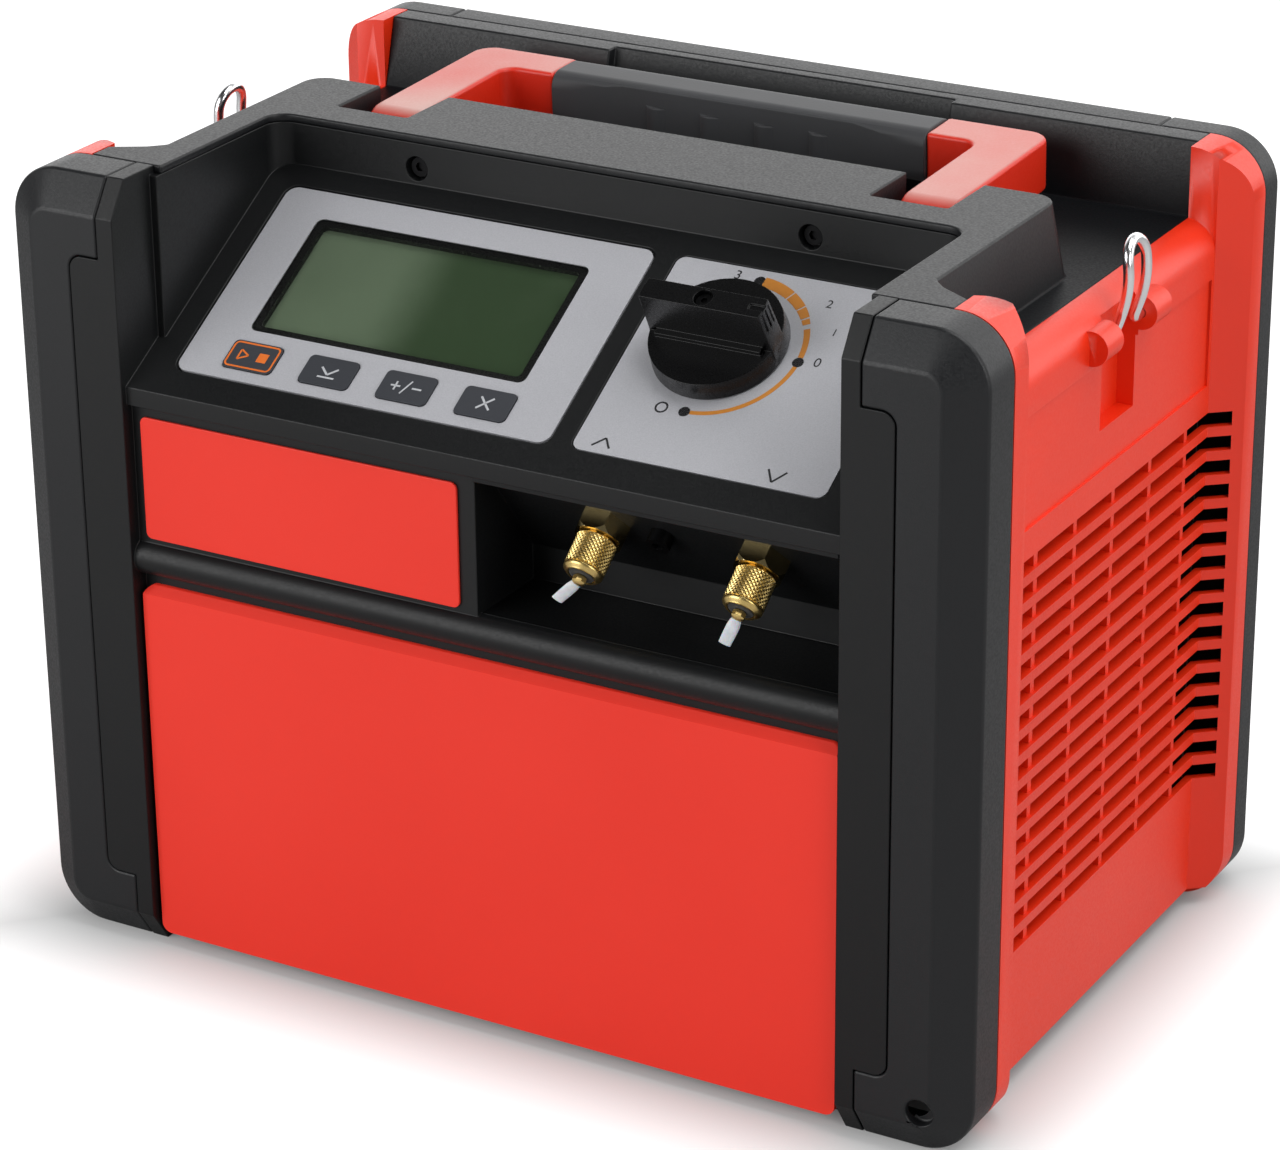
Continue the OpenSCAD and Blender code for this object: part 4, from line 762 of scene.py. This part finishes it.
def strap_wire(side, outward):
    """Bent wire of a strap hook: pins, two legs that bow outward and a round top."""
    pivot = Vector((outward * HOOK_PIVOT[0], HOOK_PIVOT[1], HOOK_PIVOT[2]))
    half, bend, leg, reach = 7.5, 2.5, 24, 23
    bow, arch, lean = 3.7, 36, 0.04
    path = [(-reach, 0), (-half - bend, 0)]
    for angle in map(math.radians, (18, 36, 54, 72, 90)):
        path.append((-half - bend + bend * math.sin(angle), bend - bend * math.cos(angle)))
    path += [(-half, bend + (leg - bend) * i / 9) for i in range(1, 10)]
    for angle in map(math.radians, range(10, 91, 10)):
        path.append((-half * math.cos(angle), leg + half * math.sin(angle)))
    path += [(-y, h) for y, h in reversed(path[:-1])]
    points = [Vector((outward * (bow * math.sin(math.pi * h / arch) + lean * h), y, h)) for y, h in path]
    last = len(points) - 1

    def shape(u, v):
        index = int(round(v * last))
        along = (points[min(index + 1, last)] - points[max(index - 1, 0)]).normalized()
        across = (Vector((1, 0, 0)) - along * along.x).normalized()
        angle = 2 * math.pi * u
        spoke = across * math.cos(angle) + along.cross(across) * math.sin(angle)
        return pivot + points[index] + spoke * WIRE_RADIUS

    wire = close_ends(close_up(wrapped_grid(f"strap_wire_{side}", 18, last, shape)))
    mount(wire, f"{side}_hook", "hook_chrome", chrome, f"hook_{side}")


window_bezel()
dial_marks()
key_marks()
strap_wire("right", 1)
strap_wire("left", -1)
for side, x, aside in (("inlet", INLET_X, 45), ("outlet", OUTLET_X, 25)):
    port_cap(side, x)
    port_tether(side, x, aside)


# Stage, light and camera


def stage():
    """Pale floor that keeps the shadow and fades to white for the camera, in a white studio."""
    bpy.ops.object.select_all(action="DESELECT")
    bpy.ops.mesh.primitive_plane_add(size=8)
    floor = bpy.context.object
    floor.name = "studio_floor"
    material, tree = new_material("pale_studio_floor")
    rays = add_node(tree, "LightPath")
    place = add_node(tree, "TexCoord").outputs["Object"]
    part = add_node(tree, "SeparateXYZ", {"Vector": place})
    wide = add_node(tree, "Math", {0: part.outputs["X"]}, operation="ABSOLUTE")
    deep = add_node(tree, "Math", {0: part.outputs["Y"]}, operation="ABSOLUTE")
    # Painted shade: the floor keeps its grey under the machine's footprint and a few centimetres round it,
    # and glows white further out
    half_wide, half_deep = 190 * MM, 125 * MM
    past_wide = add_node(tree, "Math", {0: wide.outputs["Value"], 1: half_wide}, operation="SUBTRACT")
    past_deep = add_node(tree, "Math", {0: deep.outputs["Value"], 1: half_deep}, operation="SUBTRACT")
    away = add_node(tree, "Math", {0: past_wide.outputs["Value"], 1: past_deep.outputs["Value"]},
                    operation="MAXIMUM")
    glow = add_node(tree, "MapRange", {"Value": away.outputs["Value"], "From Min": -0.03, "From Max": 0.06,
                                       "To Min": 0.0, "To Max": 0.85}, interpolation_type="SMOOTHSTEP")
    lift = add_node(tree, "Math", {0: rays.outputs["Is Camera Ray"], 1: glow.outputs["Result"]},
                    operation="MULTIPLY")
    shader = add_node(tree, "BsdfPrincipled", {"Base Color": hex_colour("#B4B4B4"), "Roughness": 0.9,
                                               "Emission Color": hex_colour("#FFFFFF"),
                                               "Emission Strength": lift.outputs["Value"]})
    add_node(tree, "OutputMaterial", {"Surface": shader.outputs["BSDF"]})
    dress(floor, material)

    world = bpy.data.worlds.new("studio_white")
    bpy.context.scene.world = world
    world.use_nodes = True
    tree = world.node_tree
    tree.nodes.clear()
    rays = add_node(tree, "LightPath")
    straight = add_node(tree, "Math", {0: rays.outputs["Is Camera Ray"],
                                       1: rays.outputs["Is Transmission Ray"]}, operation="MAXIMUM")
    # White backdrop behind the machine, a dim room in front of it
    toward = add_node(tree, "SeparateXYZ", {"Vector": add_node(tree, "TexCoord").outputs["Generated"]})
    room = add_node(tree, "MapRange", {"Value": toward.outputs["Y"], "From Min": -0.1, "From Max": 0.8,
                                       "To Min": 0.1, "To Max": 1.9}, interpolation_type="SMOOTHSTEP")
    # The backdrop ends at half height, so that only a low view of a face catches it
    ceiling = add_node(tree, "MapRange", {"Value": toward.outputs["Z"], "From Min": 0.4, "From Max": 0.75,
                                          "To Min": 1.0, "To Max": 0.3}, interpolation_type="SMOOTHSTEP")
    dimmed = add_node(tree, "Math", {0: room.outputs["Result"], 1: ceiling.outputs["Result"]},
                      operation="MULTIPLY")
    level = add_node(tree, "Math", {0: straight.outputs["Value"], 1: dimmed.outputs["Value"]},
                     operation="MAXIMUM")
    sky = add_node(tree, "Background", {"Color": hex_colour("#FFFFFF"), "Strength": level.outputs["Value"]})
    add_node(tree, "OutputWorld", {"Surface": sky.outputs["Background"]})


def soft_box(name, place, target, size, watts):
    lamp = bpy.data.lights.new(name, "AREA")
    lamp.shape = "RECTANGLE"
    lamp.size, lamp.size_y = size
    lamp.energy = watts
    box = bpy.data.objects.new(name, lamp)
    bpy.context.scene.collection.objects.link(box)
    box.location = place
    box.rotation_euler = (Vector(target) - Vector(place)).to_track_quat("-Z", "Y").to_euler()


def photo_camera():
    """Camera at the photograph's viewing angle, from a fit of the frame's outline."""
    azimuth, elevation, roll = (math.radians(v) for v in (30.031, 23.423, -0.615))
    distance = 1453.65
    target = Vector((68.334, FRONT_Y, 195.415))
    focal_pixels, picture_pixels, sensor_mm = 4347.93, 1280, 36
    back = Vector((math.sin(azimuth) * math.cos(elevation), -math.cos(azimuth) * math.cos(elevation),
                   math.sin(elevation)))
    right = Vector((math.cos(azimuth), math.sin(azimuth), 0))
    up = back.cross(right)
    tilted_right = right * math.cos(roll) + up * math.sin(roll)
    tilted_up = up * math.cos(roll) - right * math.sin(roll)
    eye = (target + back * distance) * MM
    camera = bpy.data.cameras.new("photo_camera")
    camera.sensor_fit = "HORIZONTAL"
    camera.sensor_width = sensor_mm
    camera.lens = focal_pixels / picture_pixels * sensor_mm
    camera.clip_start = 0.05
    holder = bpy.data.objects.new("photo_camera", camera)
    bpy.context.scene.collection.objects.link(holder)
    holder.matrix_world = Matrix((
        (tilted_right.x, tilted_up.x, back.x, eye.x),
        (tilted_right.y, tilted_up.y, back.y, eye.y),
        (tilted_right.z, tilted_up.z, back.z, eye.z),
        (0, 0, 0, 1)))
    bpy.context.scene.camera = holder


stage()
soft_box("top_box", (0.6, 0.1, 1.7), (0, 0, 0.2), (1.2, 1.2), 17)
soft_box("front_left_box", (-1.1, -2.0, 0.9), (0, 0, 0.15), (2.0, 1.8), 44)
soft_box("right_box", (1.9, -0.7, 0.9), (0.1, 0, 0.15), (1.0, 1.2), 15)
photo_camera()
bpy.context.scene.view_settings.view_transform = "Standard"
